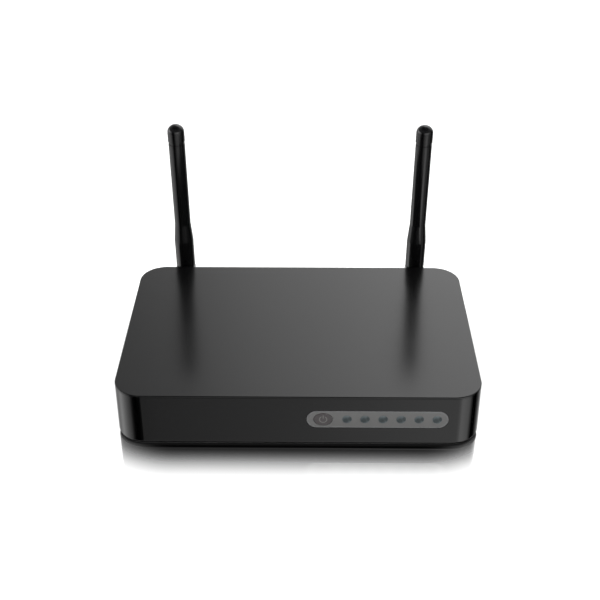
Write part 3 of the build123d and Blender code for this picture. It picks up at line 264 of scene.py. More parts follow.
def swept_ring(outline, outward, section, depth_at, centre):
    """A profile carried round a closed outline on the front.

    The point at outline place u and profile place v is centre + outline(u) + inset(v) outward(u),
    with its depth taken from the profile. The section is (offset outward, distance out of the front).
    """
    section = np.asarray(section, float)
    x = centre[0] + outline[:, 0][:, None] + outward[:, 0][:, None] * section[:, 0]
    z = centre[1] + outline[:, 1][:, None] + outward[:, 1][:, None] * section[:, 0]
    y = np.broadcast_to(depth_at - section[:, 1], x.shape)
    return np.stack([x, y, z], axis=-1).reshape(-1, 3), grid_faces(len(outline), len(section), True, True)


def flat_plate(outline, centre, face, thickness, facing=-1):
    """A flat plate whose edge is a closed (x, z) outline: two faces and a wall.

    It faces the front when facing is -1 and the rear when it is 1, and face is its outer side's y.
    """
    count = len(outline)
    x, z = centre[0] + outline[:, 0], centre[1] + outline[:, 1]
    near = np.stack([x, np.full(count, face), z], axis=1)
    far = near - (0, facing * thickness, 0)
    faces = grid_faces(2, count, wrap_columns=True).tolist()
    faces += [list(range(count))[::-1], [count + i for i in range(count)]]
    if facing < 0:
        faces = [quad[::-1] for quad in faces]
    return np.concatenate([near, far]), faces


def arc_outline(radius, width, start, end):
    """The closed outline of a bent bar: out along its outer arc and back along its inner one."""
    angles = np.linspace(start, end, 28)
    outer = (radius + width / 2) * np.stack([np.cos(angles), np.sin(angles)], axis=1)
    inner = (radius - width / 2) * np.stack([np.cos(angles), np.sin(angles)], axis=1)[::-1]
    return np.concatenate([outer, inner])


def ring_outline(radius, width):
    """A ring as one closed outline, cut open by a hair at its foot."""
    hair = 0.01
    return arc_outline(radius, width, -pi / 2 + hair, 1.5 * pi - hair)


def open_ring(radius, width, gap):
    """The outline of a ring that is open at its top by gap degrees each way."""
    start = pi / 2 + radians(gap)
    return arc_outline(radius, width, start, pi / 2 + 2 * pi - radians(gap))


def bar_outline(width, low, high):
    """The closed outline of an upright bar."""
    half = width / 2
    return np.array([(-half, low), (half, low), (half, high), (-half, high)])


# ---- Shader effects shared by several finishes ----

class Tree:
    """Small helper that adds and joins shader nodes."""

    def __init__(self, tree):
        self.tree = tree

    def node(self, kind, **settings):
        """Adds a node of one kind and sets its plain properties."""
        made = self.tree.nodes.new(kind)
        for key, value in settings.items():
            setattr(made, key, value)
        return made

    def join(self, source, target):
        """Joins an output to an input."""
        self.tree.links.new(source, target)

    def feed(self, target, value):
        """Joins value to an input if it is a socket, or else sets it as the input's value."""
        if isinstance(value, bpy.types.NodeSocket):
            self.join(value, target)
        else:
            target.default_value = value

    def place(self):
        """The object coordinates."""
        return self.node("ShaderNodeTexCoord").outputs["Object"]

    def split(self, vector):
        """A vector's x, y and z."""
        made = self.node("ShaderNodeSeparateXYZ")
        self.join(vector, made.inputs[0])
        return made.outputs

    def put(self, node, **values):
        """Feeds several of a node's named inputs."""
        for label, value in values.items():
            self.feed(node.inputs[label.replace("_", " ")], value)

    def math(self, operation, first, second=0.0, third=0.0, clamp=False):
        """A Math node's result."""
        made = self.node("ShaderNodeMath", operation=operation, use_clamp=clamp)
        for target, value in zip(made.inputs, (first, second, third)):
            self.feed(target, value)
        return made.outputs[0]

    def vector(self, operation, first, second=None):
        """A Vector Math node's result, which is a value for a length and a vector for all else."""
        made = self.node("ShaderNodeVectorMath", operation=operation)
        self.feed(made.inputs[0], first)
        if second is not None:
            self.feed(made.inputs[1], second)
        return made.outputs["Value" if operation == "LENGTH" else "Vector"]

    def noise(self, coordinates, scale, detail=2.0, roughness=0.5):
        """Noise from 0 to 1 at a scale in features per metre."""
        made = self.node("ShaderNodeTexNoise")
        self.put(made, Vector=coordinates, Scale=scale, Detail=detail, Roughness=roughness)
        return made.outputs["Fac"]

    def remap(self, value, low, high, new_low=0.0, new_high=1.0):
        """Value carried from one range to another, held at the ends."""
        made = self.node("ShaderNodeMapRange", interpolation_type="SMOOTHSTEP")
        names = ("Value", "From Min", "From Max", "To Min", "To Max")
        for name, number in zip(names, (value, low, high, new_low, new_high)):
            self.feed(made.inputs[name], number)
        return made.outputs[0]

    def blend(self, factor, first, second):
        """Two colours mixed by a factor."""
        made = self.node("ShaderNodeMix", data_type="RGBA")
        self.feed(made.inputs[0], factor)
        for target, value in zip((made.inputs[6], made.inputs[7]), (first, second)):
            self.feed(target, value if isinstance(value, bpy.types.NodeSocket) else (*value, 1.0))
        return made.outputs[2]


SOCKET_KINDS = {"value": "NodeSocketFloat", "vector": "NodeSocketVector", "colour": "NodeSocketColor"}


def effect(name, inputs, outputs):
    """A new shader node group, as (group, helper, its input sockets by name, its output node)."""
    group = bpy.data.node_groups.new(name, "ShaderNodeTree")
    for label, kind, default in inputs:
        socket = group.interface.new_socket(name=label, in_out="INPUT", socket_type=SOCKET_KINDS[kind])
        if default is not None:
            socket.default_value = default
    for label, kind in outputs:
        group.interface.new_socket(name=label, in_out="OUTPUT", socket_type=SOCKET_KINDS[kind])
    tree = Tree(group)
    given = tree.node("NodeGroupInput")
    return group, tree, given.outputs, tree.node("NodeGroupOutput")


def moulded_grain_effect():
    """Fine moulded texture: two sizes of grain give height, roughness and a faint mottle."""
    group, tree, given, out = effect(
        "moulded_grain",
        [("Coordinates", "vector", None), ("Grains per metre", "value", 3000.0), ("Roughness", "value", 0.4),
         ("Spread", "value", 0.06)],
        [("Height", "value"), ("Roughness", "value"), ("Mottle", "value")],
    )
    fine = tree.noise(given["Coordinates"], given["Grains per metre"], detail=3.0, roughness=0.6)
    coarse = tree.noise(given["Coordinates"], tree.math("MULTIPLY", given["Grains per metre"], 0.28), detail=2.0)
    broad = tree.noise(given["Coordinates"], tree.math("MULTIPLY", given["Grains per metre"], 0.012), detail=3.0)
    uneven = tree.math("MULTIPLY", tree.math("SUBTRACT", coarse, 0.5), given["Spread"])
    slow = tree.math("MULTIPLY", tree.math("SUBTRACT", broad, 0.5), given["Spread"])
    tree.put(
        out,
        Height=tree.math("MULTIPLY_ADD", coarse, 0.45, tree.math("MULTIPLY", fine, 0.55)),
        Roughness=tree.math("ADD", given["Roughness"], tree.math("ADD", uneven, slow), clamp=True),
        Mottle=tree.remap(fine, 0.3, 0.7),
    )
    return group


def polish_effect():
    """A polished moulding: a faint long wave, wiping marks in the roughness and a few dust specks."""
    group, tree, given, out = effect(
        "polish",
        [("Coordinates", "vector", None), ("Roughness", "value", 0.05), ("Smears", "value", 0.03)],
        [("Height", "value"), ("Roughness", "value"), ("Dust", "value")],
    )
    wave = tree.noise(given["Coordinates"], 180.0, detail=1.0)
    stretched = tree.vector("MULTIPLY", given["Coordinates"], (1.0, 1.0, 3.0))
    smear = tree.remap(tree.noise(stretched, 45.0, detail=4.0, roughness=0.55), 0.45, 0.75)
    rubbed = tree.math("ADD", given["Roughness"], tree.math("MULTIPLY", smear, given["Smears"]), clamp=True)
    specks = tree.node("ShaderNodeTexVoronoi", feature="F1")
    tree.put(specks, Vector=given["Coordinates"], Scale=260.0)
    dust = tree.remap(specks.outputs["Distance"], 0.035, 0.02)
    tree.put(out, Height=wave, Roughness=rubbed, Dust=dust)
    return group


def rounded_box_effect():
    """How far a place is outside a rounded rectangle in plan; negative inside it.

    With q the size of the place in each direction less the half size plus the corner radius, the
    distance is |max(q, 0)| + min(max(q across, q along), 0) - radius.
    """
    group, tree, given, out = effect(
        "rounded_box_distance",
        [("Coordinates", "vector", None), ("Centre", "vector", (0, 0, 0)), ("Half size", "vector", (1, 1, 0)),
         ("Corner", "value", 0.01)],
        [("Distance", "value")],
    )
    size = tree.vector("ABSOLUTE", tree.vector("SUBTRACT", given["Coordinates"], given["Centre"]))
    past_x, past_y, _ = tree.split(tree.vector("SUBTRACT", size, given["Half size"]))
    across = tree.math("ADD", past_x, given["Corner"])
    along = tree.math("ADD", past_y, given["Corner"])
    outside = tree.node("ShaderNodeCombineXYZ")
    tree.join(tree.math("MAXIMUM", across, 0.0), outside.inputs[0])
    tree.join(tree.math("MAXIMUM", along, 0.0), outside.inputs[1])
    inside = tree.math("MINIMUM", tree.math("MAXIMUM", across, along), 0.0)
    reach = tree.math("ADD", tree.vector("LENGTH", outside.outputs[0]), inside)
    tree.join(tree.math("SUBTRACT", reach, given["Corner"]), out.inputs["Distance"])
    return group


EFFECTS = {}


def shared_effect(name):
    """A shared node group, built the first time it is asked for."""
    makers = {"grain": moulded_grain_effect, "polish": polish_effect, "box": rounded_box_effect}
    if name not in EFFECTS:
        EFFECTS[name] = makers[name]()
    return EFFECTS[name]


def use_effect(tree, name, **values):
    """Places a shared effect in a material and feeds its named inputs."""
    made = tree.node("ShaderNodeGroup", node_tree=shared_effect(name))
    tree.put(made, **values)
    return made.outputs


# ---- Finishes ----

def bare_material(name):
    """A material that holds only its output: (material, helper, the output's surface input)."""
    material = bpy.data.materials.new(name)
    material.use_nodes = True
    material.node_tree.nodes.clear()
    tree = Tree(material.node_tree)
    return material, tree, tree.node("ShaderNodeOutputMaterial").inputs["Surface"]


def new_finish(name):
    """A material with a Principled BSDF: (material, helper, shader's inputs, object coordinates)."""
    material, tree, surface = bare_material(name)
    shader = tree.node("ShaderNodeBsdfPrincipled")
    tree.join(shader.outputs[0], surface)
    return material, tree, shader.inputs, tree.place()


def case_distance(tree, place, corner):
    """How far a place is outside the case in plan, with the case's corners rounded by corner."""
    size = (HALF_WIDTH, HALF_DEPTH, 1.0)
    edge = use_effect(tree, "box", Coordinates=place, Centre=tuple(CASE_MIDDLE), Half_size=size, Corner=corner)
    return edge["Distance"]


def dull(material, level):
    """Weakens a finish's reflections."""
    material.node_tree.nodes["Principled BSDF"].inputs["Specular IOR Level"].default_value = level


def cover(tree, inputs, hue, roughness, height, depth):
    """Feeds a shader its roughness, a height as deep as depth metres and, if there is one, its colour."""
    if hue is not None:
        tree.join(hue, inputs["Base Color"])
    tree.join(roughness, inputs["Roughness"])
    bump = tree.node("ShaderNodeBump")
    bump.inputs["Strength"].default_value = 1.0
    bump.inputs["Distance"].default_value = depth
    tree.join(height, bump.inputs["Height"])
    tree.join(bump.outputs[0], inputs["Normal"])


def grained_plastic(name, base, roughness, grain_size, grain_depth, spread=0.06, mottle=0.12):
    """A matt moulding with a fine texture and a faint mottle in its colour."""
    material, tree, inputs, place = new_finish(name)
    grain = use_effect(
        tree, "grain", Coordinates=place, Grains_per_metre=1.0 / grain_size, Roughness=roughness, Spread=spread
    )
    dark = tuple(c * (1 - mottle) for c in base)
    light = tuple(min(1.0, c * (1 + mottle)) for c in base)
    hue = tree.blend(grain["Mottle"], dark, light)
    cover(tree, inputs, hue, grain["Roughness"], grain["Height"], grain_depth)
    return material


def polished_plastic(name, base, roughness, dust=0.25):
    """A glossy moulding with a hint of waviness, wiping marks and dust."""
    dust_grey, wave_depth = 0.25, 2e-6
    material, tree, inputs, place = new_finish(name)
    polish = use_effect(tree, "polish", Coordinates=place, Roughness=roughness, Smears=0.03)
    pale = tuple(c + (dust_grey - c) * dust for c in base)
    hue = tree.blend(polish["Dust"], base, pale)
    cover(tree, inputs, hue, polish["Roughness"], polish["Height"], wave_depth)
    return material


def brushed_metal(name, base, roughness, along=(0.05, 1.0, 1.0)):
    """Sheet or bar metal with fine lines drawn one way and cloudy patches of tarnish."""
    lines_per_metre, clouds_per_metre, line_depth = 2500.0, 220.0, 1.5e-6
    material, tree, inputs, place = new_finish(name)
    inputs["Metallic"].default_value = 1.0
    stretched = tree.vector("MULTIPLY", place, along)
    lines = tree.noise(stretched, lines_per_metre, detail=4.0, roughness=0.7)
    cloud = tree.noise(place, clouds_per_metre, detail=3.0)
    tarnish = tuple(c * 0.78 for c in base)
    hue = tree.blend(tree.remap(cloud, 0.35, 0.7), base, tarnish)
    cover(tree, inputs, hue, tree.math("MULTIPLY_ADD", lines, 0.22, roughness - 0.08), lines, line_depth)
    return material


def board_laminate(name):
    """Solder-masked board: copper runs show as slightly raised, paler bands under the mask."""
    material, tree, inputs, place = new_finish(name)
    runs = tree.node("ShaderNodeTexBrick", offset=0.5, squash=1.0)
    tree.put(runs, Vector=place, Scale=90.0, Mortar_Size=0.045, Brick_Width=0.9, Row_Height=0.22)
    patches = tree.remap(tree.noise(place, 55.0, detail=2.0), 0.46, 0.54)
    trace = tree.math("MULTIPLY", runs.outputs["Fac"], patches)
    hue = tree.blend(trace, (0.008, 0.06, 0.022), (0.02, 0.13, 0.045))
    weave = tree.noise(place, 1500.0, detail=2.0)
    height = tree.math("ADD", trace, tree.math("MULTIPLY", weave, 0.1))
    cover(tree, inputs, hue, tree.math("MULTIPLY_ADD", weave, 0.15, 0.22), height, 3e-5)
    return material


def clear_plastic(name):
    """Water-clear moulding for the light guide, with faint flow marks."""
    material, tree, inputs, place = new_finish(name)
    inputs["Base Color"].default_value = (0.92, 0.95, 0.96, 1.0)
    inputs["Transmission Weight"].default_value = 1.0
    inputs["IOR"].default_value = 1.49
    flow = tree.noise(place, 300.0, detail=2.0)
    cover(tree, inputs, None, tree.math("MULTIPLY_ADD", flow, 0.06, 0.03), flow, 4e-6)
    return material


def lens_finish(settings):
    """Tinted lens with a painted glint: paler towards its upper left, with a dark lobe low on the left and one on
    the right.

    The pattern repeats from lens to lens: x on a lens is (x - start) mod pitch - pitch / 2.
    """
    lobes = ((-0.5 * MM, -0.5 * MM, 2.9 * MM), (1.6 * MM, 0.35 * MM, 2.3 * MM))  # x, z and reach
    core = 0.25  # share of a lobe's reach that is fully dark
    material, tree, inputs, place = new_finish("lens_plastic")
    xs = LENS_CENTRES[:, 0]
    pitch = float(np.diff(xs).mean())
    start = (float(xs[0]) - pitch / 2, 0.0, float(LENS_CENTRES[0, 2]))
    x, _, z = tree.split(tree.vector("SUBTRACT", place, start))
    across = tree.math("SUBTRACT", tree.math("MODULO", x, pitch), pitch / 2)
    on_lens = tree.node("ShaderNodeCombineXYZ")
    tree.join(across, on_lens.inputs[0])
    tree.join(z, on_lens.inputs[2])
    shades = []
    for lobe_x, lobe_z, reach in lobes:
        away = tree.vector("SUBTRACT", on_lens.outputs[0], (lobe_x, 0.0, lobe_z))
        shades.append(tree.remap(tree.vector("LENGTH", away), reach, core * reach))
    dark = tree.math("MAXIMUM", *shades)
    # Painted glint: the pale colour round the two dark lobes stands in for the lens's highlight.
    hue = tree.blend(dark, settings.lens_painted_glint, settings.lens_dark)
    speck = tree.noise(place, 2200.0, detail=2.0)
    cover(tree, inputs, hue, tree.math("MULTIPLY_ADD", speck, 0.1, 0.24), speck, 3e-6)
    return material


def finish_nodes(material, *names):
    """Gives CAD nodes a material by assigning it to their slots."""
    for name in names:
        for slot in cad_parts[name].material_slots:
            slot.material = material


# ---- Case ----

class TERMINAL_OT_case(Operator):
    """Finish the top cover, the polished band, the tray, the rear panel and the feet"""

    bl_idname = "terminal.case"
    bl_label = "Case"

    def execute(self, context):
        look = context.scene.terminal_case
        finish_nodes(cover_finish(look), "top_cover")
        finish_nodes(polished_plastic("band_plastic", look.band_colour, look.band_roughness), "front_band")
        depth = 3 * look.grain_depth
        tray = grained_plastic("tray_plastic", look.tray_colour, look.tray_roughness, look.grain_size, depth)
        dull(tray, 0.04)
        finish_nodes(tray, "bottom_case")
        panel = grained_plastic("panel_plastic", look.panel_colour, look.panel_roughness, look.grain_size, depth)
        finish_nodes(panel, "rear_panel")
        rubber = grained_plastic("foot_rubber", look.rubber_colour, 0.75, 0.0006, 2e-5, mottle=0.25)
        finish_nodes(rubber, "rubber_feet")
        return {"FINISHED"}


def cover_finish(look):
    """The top plate's finish: fine grain, rubbed a little smoother along its edge, where the colour is also paler
    as a painted highlight line.
    """
    material, tree, inputs, place = new_finish("cover_plastic")
    grain = use_effect(
        tree, "grain", Coordinates=place, Grains_per_metre=1.0 / look.grain_size, Roughness=look.cover_roughness,
        Spread=0.05,
    )
    # The edge mask lowers the roughness a little for rubbing, and also paints a highlight: the colour is paler
    # along the plate's edge.
    rubbed = tree.remap(case_distance(tree, place, CORNER), -1.2 * MM, -0.2 * MM)
    base = tuple(look.cover_colour)
    speckled = tree.blend(grain["Mottle"], tuple(c * 0.8 for c in base), tuple(c * 1.25 for c in base))
    # Painted highlight along the plate's edge: the colour there is 1.6 times the plate's.
    hue = tree.blend(rubbed, speckled, tuple(c * 1.6 for c in base))
    smoother = tree.math("SUBTRACT", grain["Roughness"], tree.math("MULTIPLY", rubbed, 0.05))
    cover(tree, inputs, hue, smoother, grain["Height"], look.grain_depth)
    return material


# ---- Lamp window, lenses and button ----

def lens_centres():
    """The centre of each lamp lens on its front face, from the CAD lenses' own points."""
    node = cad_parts["indicator_lenses"]
    points = np.zeros(len(node.data.vertices) * 3)
    node.data.vertices.foreach_get("co", points)
    points = points.reshape(-1, 3)
    order = np.sort(points[:, 0])
    breaks = np.flatnonzero(np.diff(order) > 2 * MM)
    groups = np.split(order, breaks + 1)
    xs = np.array([(group[0] + group[-1]) / 2 for group in groups])
    low, high = points.min(0), points.max(0)
    return np.stack([xs, np.full(len(xs), low[1]), np.full(len(xs), (low[2] + high[2]) / 2)], axis=1)


LENS_CENTRES = lens_centres()
LENS_RADIUS = float(np.diff([corner[2] for corner in node_box("indicator_lenses")])[0] / 2)


class TERMINAL_OT_window(Operator):
    """Finish the window plate and lay its raised rim round it"""

    bl_idname = "terminal.window"
    bl_label = "Lamp window"

    def execute(self, context):
        look = context.scene.terminal_window
        plate = grained_plastic("window_plastic", look.plate_colour, 0.32, 0.0005, 1.5e-6, spread=0.04, mottle=0.03)
        dull(plate, 0.3)
        finish_nodes(plate, "lamp_window")
        # The plate's hidden flange, the play round it, and how deep the rim's foot is sunk
        flange, play, sunk = 1.5 * MM, 0.1 * MM, 0.05 * MM
        half_length = (WINDOW_HIGH[0] - WINDOW_LOW[0]) / 2 - flange - play
        radius = (WINDOW_HIGH[2] - WINDOW_LOW[2]) / 2 - flange - play
        outline, outward = capsule_outline(half_length, radius)
        turn = np.linspace(0, pi, 9)
        half_rim = look.rim_width / 2
        crown = np.stack([-half_rim - half_rim * np.cos(turn), look.rim_height * np.sin(turn)], axis=1)
        foot = np.array([(0.0, -sunk), (-look.rim_width, -sunk)])
        section = np.concatenate([crown, foot])
        centre = ((WINDOW_LOW[0] + WINDOW_HIGH[0]) / 2, (WINDOW_LOW[2] + WINDOW_HIGH[2]) / 2)
        points, faces = swept_ring(outline, outward, section, WINDOW_LOW[1], centre)
        # The rim is a little paler than the plate: a painted highlight along the raised rim.
        rim = grained_plastic("window_rim", look.rim_highlight_colour, 0.28, 0.0005, 1e-6, spread=0.04, mottle=0.03)
        mesh_piece("window_rim", points, faces, rim, "root")
        return {"FINISHED"}


class TERMINAL_OT_lenses(Operator):
    """Replace the six lamp lenses with domed ones"""

    bl_idname = "terminal.lenses"
    bl_label = "Lamp lenses"

    def execute(self, context):
        look = context.scene.terminal_window
        # As turn goes from 0 to a right angle, the dome stands lift sin(turn) out of the lens's face, and
        # its radius is the lens's times (0.9 + 0.1 cos(turn)) cos(turn) ** 0.35
        lift, tip = 0.12 * MM, 0.02
        back = node_box("indicator_lenses")[1][1]
        front = LENS_CENTRES[0, 1] - back
        dome = np.linspace(0, pi / 2, 9)
        section = [(LENS_RADIUS, 0.0)]
        for turn in dome:
            narrowing = cos(turn) ** 0.35 if turn < dome[-1] else tip
            section.append((LENS_RADIUS * (0.9 + 0.1 * cos(turn)) * narrowing, lift * sin(turn) - front))
        parts = [
            lathe(section, (x, back, z), (0, -1, 0), (1, 0, 0), steps=40) for x, _, z in LENS_CENTRES.tolist()
        ]
        points, faces = joined(parts)
        piece = mesh_piece("lamp_lenses", points, faces, lens_finish(look), "root")
        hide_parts("indicator_lenses")
        return {"FINISHED"}


class TERMINAL_OT_button(Operator):
    """Finish the oval button and lay a plain power symbol into it"""

    bl_idname = "terminal.button"
    bl_label = "Power button"

    def execute(self, context):
        look = context.scene.terminal_window
        body = grained_plastic("button_plastic", look.button_colour, 0.38, 0.0004, 2e-6, mottle=0.08)
        finish_nodes(body, "power_button")
        low, high = node_box("power_button")
        centre = ((low[0] + high[0]) / 2, float(LENS_CENTRES[0, 2]))
        sunk, thickness = 0.02 * MM, 0.14 * MM
        radius, line, bar_foot, bar_top = 1.9 * MM, 0.46 * MM, 0.52 * MM, 2.58 * MM
        shapes = [open_ring(radius, line, gap=28), bar_outline(line, bar_foot, bar_top)]
        parts = [flat_plate(shape, centre, low[1] + sunk, thickness) for shape in shapes]
        points, faces = joined(parts)
        ink = grained_plastic("symbol_ink", look.symbol_colour, 0.45, 0.0004, 1e-6, mottle=0.05)
        mesh_piece("power_symbol", points, faces, ink, "front_button", smooth=False)
        return {"FINISHED"}


# ---- Antennas ----

def antenna_finish(look):
    """Satin sheath: fine grain, with the mould's parting line down each side."""
    material, tree, inputs, place = new_finish("antenna_plastic")
    grain = use_effect(
        tree, "grain", Coordinates=place, Grains_per_metre=2500.0, Roughness=look.plastic_roughness, Spread=0.05
    )
    base = tuple(look.plastic_colour)
    hue = tree.blend(grain["Mottle"], base, tuple(c * 1.3 for c in base))
    grain_share = 0.1
    seam_y = float(middle("antenna_left_cap")[1])
    off_seam = tree.math("ABSOLUTE", tree.math("SUBTRACT", tree.split(place)[1], seam_y))
    seam = tree.remap(off_seam, look.seam_width / 2, 0.0)
    height = tree.math("MULTIPLY_ADD", grain["Height"], grain_share, seam)
    cover(tree, inputs, hue, grain["Roughness"], height, look.seam_height)
    return material


class TERMINAL_OT_antennas(Operator):
    """Finish both antennas, their hinges and what is inside them"""

    bl_idname = "terminal.antennas"
    bl_label = "Antennas"

    def execute(self, context):
        look = context.scene.terminal_antenna
        satin = antenna_finish(look)
        elbow = grained_plastic("elbow_plastic", look.plastic_colour, look.plastic_roughness, 0.0004, 2e-6)
        steel = brushed_metal("pin_steel", (0.5, 0.5, 0.51), 0.3)
        brass = brushed_metal("radiator_brass", (0.78, 0.58, 0.28), 0.28, along=(1.0, 1.0, 0.05))
        jacket = grained_plastic("coax_jacket", (0.02, 0.02, 0.021), 0.42, 0.0003, 2e-6)
        for side in SIDES:
            finish_nodes(satin, f"antenna_{side}_sheath", f"antenna_{side}_cap")
            finish_nodes(elbow, f"antenna_{side}_elbow")
            finish_nodes(steel, f"antenna_{side}_hinge_pin", f"antenna_{side}_clip")
            finish_nodes(brass, f"antenna_{side}_radiator")
            finish_nodes(jacket, f"antenna_{side}_coax")
        return {"FINISHED"}


# ---- Sockets, switches and what is inside the case ----

class TERMINAL_OT_sockets(Operator):
    """Finish the sockets and switches at the rear"""

    bl_idname = "terminal.sockets"
    bl_label = "Sockets"

    def execute(self, context):
        black = grained_plastic("socket_plastic", (0.014, 0.014, 0.0145), 0.42, 0.0004, 3e-6)
        tin = brushed_metal("tinned_sheet", (0.62, 0.62, 0.63), 0.3)
        gold = brushed_metal("gold_plate", (0.9, 0.66, 0.3), 0.2, along=(1.0, 0.05, 1.0))
        green = grained_plastic("optical_plastic", (0.02, 0.22, 0.07), 0.4, 0.0004, 3e-6)
        ceramic = polished_plastic("white_ceramic", (0.78, 0.78, 0.74), 0.12, dust=0.0)
        pale = grained_plastic("pale_plastic", (0.5, 0.5, 0.48), 0.4, 0.0004, 2e-6)
        cap = grained_plastic("cap_plastic", (0.012, 0.012, 0.0125), 0.3, 0.0004, 2e-6)
        finish_nodes(black, "lan_jack_housing", "usb_tongue", "power_jack", "power_switch_body")
        finish_nodes(tin, "lan_jack_shield", "usb_shell", "optical_module", "radio_shield", "crystal")
        finish_nodes(gold, "lan_contacts", "usb_contacts", "power_jack_pin", "coax_connectors")
        finish_nodes(green, "optical_socket")
        finish_nodes(ceramic, "optical_sleeve")
        finish_nodes(pale, "reset_plunger", "button_plunger")
        finish_nodes(cap, "power_switch_cap")
        return {"FINISHED"}


def box_outline(half_width, half_height, line):
    """A rectangle drawn as a line of even width, as four bars that meet at the corners."""
    inner_width, inner_height = half_width - line, half_height - line
    upright = np.array([(0, -half_height), (line, -half_height), (line, half_height), (0, half_height)])
    level = np.array([(-inner_width, 0), (inner_width, 0), (inner_width, line), (-inner_width, line)])
    sides = [upright - (half_width, 0), upright + (inner_width, 0)]
    return sides + [level + (0, inner_height), level - (0, half_height)]


def dot_outline(radius, across=0.0):
    """A round dot, moved across by a distance."""
    angles = np.linspace(0, 2 * pi, 20, endpoint=False)
    return np.stack([across + radius * np.cos(angles), radius * np.sin(angles)], axis=1)


class TERMINAL_OT_marks(Operator):
    """Lay plain marks over the rear sockets: dots that count the ports, rings, a box and a bar"""

    bl_idname = "terminal.marks"
    bl_label = "Socket marks"

    def execute(self, context):
        look = context.scene.terminal_marks
        line, size = look.mark_line, look.mark_size
        block_low, block_high = node_box("lan_jack_housing")
        block_middle, pitch = (block_low[0] + block_high[0]) / 2, look.port_pitch
        drawings = []
        for port in range(4):
            spots = [dot_outline(0.6 * line, (dot - port / 2) * 2.4 * line) for dot in range(port + 1)]
            drawings.append((block_middle + (1.5 - port) * pitch, spots))
        ring = ring_outline(size, line)
        symbols = {
            "optical_socket": [ring, bar_outline(line, -size / 2, size / 2)],
            "usb_shell": box_outline(1.5 * size, 0.7 * size, line),
            "power_jack": [ring, dot_outline(0.9 * line)],
            "power_switch_cap": [open_ring(size, line, gap=32), bar_outline(line, 0.2 * size, 1.3 * size)],
            "reset_plunger": [arc_outline(0.7 * size, line, radians(50), radians(400))],
        }
        drawings += [(middle(node)[0], shapes) for node, shapes in symbols.items()]
        ink = grained_plastic("mark_ink", look.mark_colour, 0.5, 0.0003, 1e-6, mottle=0.06)
        proud, thickness = 0.02 * MM, 0.06 * MM
        parts = [
            flat_plate(shape, (x, MARK_Z), PANEL_FACE + proud, thickness, facing=1)
            for x, shapes in drawings
            for shape in shapes
        ]
        points, faces = joined(parts)
        mesh_piece("socket_marks", points, faces, ink, "root", smooth=False)
        return {"FINISHED"}


class TERMINAL_OT_inside(Operator):
    """Finish the board and everything that stands on it"""

    bl_idname = "terminal.inside"
    bl_label = "Board and its parts"

    def execute(self, context):
        chip = grained_plastic("chip_epoxy", (0.016, 0.016, 0.017), 0.48, 0.0002, 4e-6)
        finish_nodes(
            chip, "processor_chip", "memory_chips", "radio_chips", "network_transformers", "power_inductors",
            "button_switch", "reset_switch",
        )
        finish_nodes(board_laminate("board_laminate"), "main_board")
        sink = brushed_metal("sink_aluminium", (0.62, 0.63, 0.64), 0.36, along=(1.0, 0.05, 1.0))
        finish_nodes(sink, "heat_sink")
        finish_nodes(brushed_metal("capacitor_can", (0.55, 0.55, 0.57), 0.3), "power_capacitors")
        pad = grained_plastic("silicone_pad", (0.42, 0.47, 0.52), 0.65, 0.0005, 6e-6)
        finish_nodes(pad, "thermal_pad")
        lamp = polished_plastic("lamp_package", (0.75, 0.73, 0.5), 0.25, dust=0.0)
        finish_nodes(lamp, "led_chips")
        finish_nodes(clear_plastic("light_guide_plastic"), "light_guide")
        return {"FINISHED"}


class TERMINAL_OT_fasteners(Operator):
    """Finish the case and board screws"""

    bl_idname = "terminal.fasteners"
    bl_label = "Screws"

    def execute(self, context):
        zinc = brushed_metal("zinc_screw", (0.55, 0.55, 0.57), 0.32, along=(1.0, 1.0, 0.1))
        finish_nodes(zinc, "case_screws", "board_screws")
        return {"FINISHED"}


# ---- Stage ----

def stage_flat(name, points, material):
    """A flat piece of the stage with four corners."""
    mesh = bpy.data.meshes.new(name)
    mesh.from_pydata(points, [], [(0, 1, 2, 3)])
    mesh.materials.append(material)
    piece = add_object(name, mesh)
    return piece


def build_floor(look):
    """A plain pale floor: a flat square, polished so that it mirrors the case close by.

    The mirror's share is exp(-(distance / reach) ** fall), with the distance taken from the case as if
    its corners were rounder than they are. Far away the floor fades to an even white.
    """
    fall, euler = 2.35, 2.718
    white_from, white_by, white_level = 0.2, 0.9, 1.1
    material, tree, surface = bare_material("pale_floor")
    matt = tree.node("ShaderNodeBsdfDiffuse")
    matt.inputs["Color"].default_value = (*look.floor_colour, 1.0)
    mirror = tree.node("ShaderNodeBsdfGlossy")
    mirror.inputs["Color"].default_value = (1.0, 1.0, 1.0, 1.0)
    mirror.inputs["Roughness"].default_value = 0.0
    distance = case_distance(tree, tree.place(), look.reflection_corner)
    away = tree.math("DIVIDE", tree.math("MAXIMUM", distance, 0.0), look.reflection_reach)
    near = tree.math("POWER", euler, tree.math("MULTIPLY", tree.math("POWER", away, fall), -1.0))
    mixed = tree.node("ShaderNodeMixShader")
    glow = tree.node("ShaderNodeEmission")
    glow.inputs["Strength"].default_value = white_level
    faded = tree.node("ShaderNodeMixShader")
    for shader, values in (
        (mixed, (near, matt.outputs[0], mirror.outputs[0])),
        (faded, (tree.remap(distance, white_from, white_by), mixed.outputs[0], glow.outputs[0])),
    ):
        for target, value in zip(shader.inputs, values):
            tree.join(value, target)
    tree.join(faded.outputs[0], surface)
    half = look.floor_radius
    floor = stage_flat("floor", [(-half, -half, 0), (half, -half, 0), (half, half, 0), (-half, half, 0)], material)
    floor.visible_glossy = False


def grey(level):
    """A level as a colour."""
    return (level, level, level)


def ramp(tree, value, stops):
    """A grey ramp through (place, level) stops, between straight lines."""
    made = tree.node("ShaderNodeValToRGB")
    made.color_ramp.interpolation = "LINEAR"
    elements = made.color_ramp.elements
    while len(elements) > 1:
        elements.remove(elements[-1])
    elements[0].position, first = stops[0]
    elements[0].color = (*grey(first), 1.0)
    for position, level in stops[1:]:
        elements.new(position).color = (*grey(level), 1.0)
    tree.join(value, made.inputs[0])
    return made.outputs[0]


def compass(degrees_right):
    """Where a direction falls on the studio's ramps: 0.5 is the front, and right is positive."""
    return 0.5 + degrees_right / 360.0


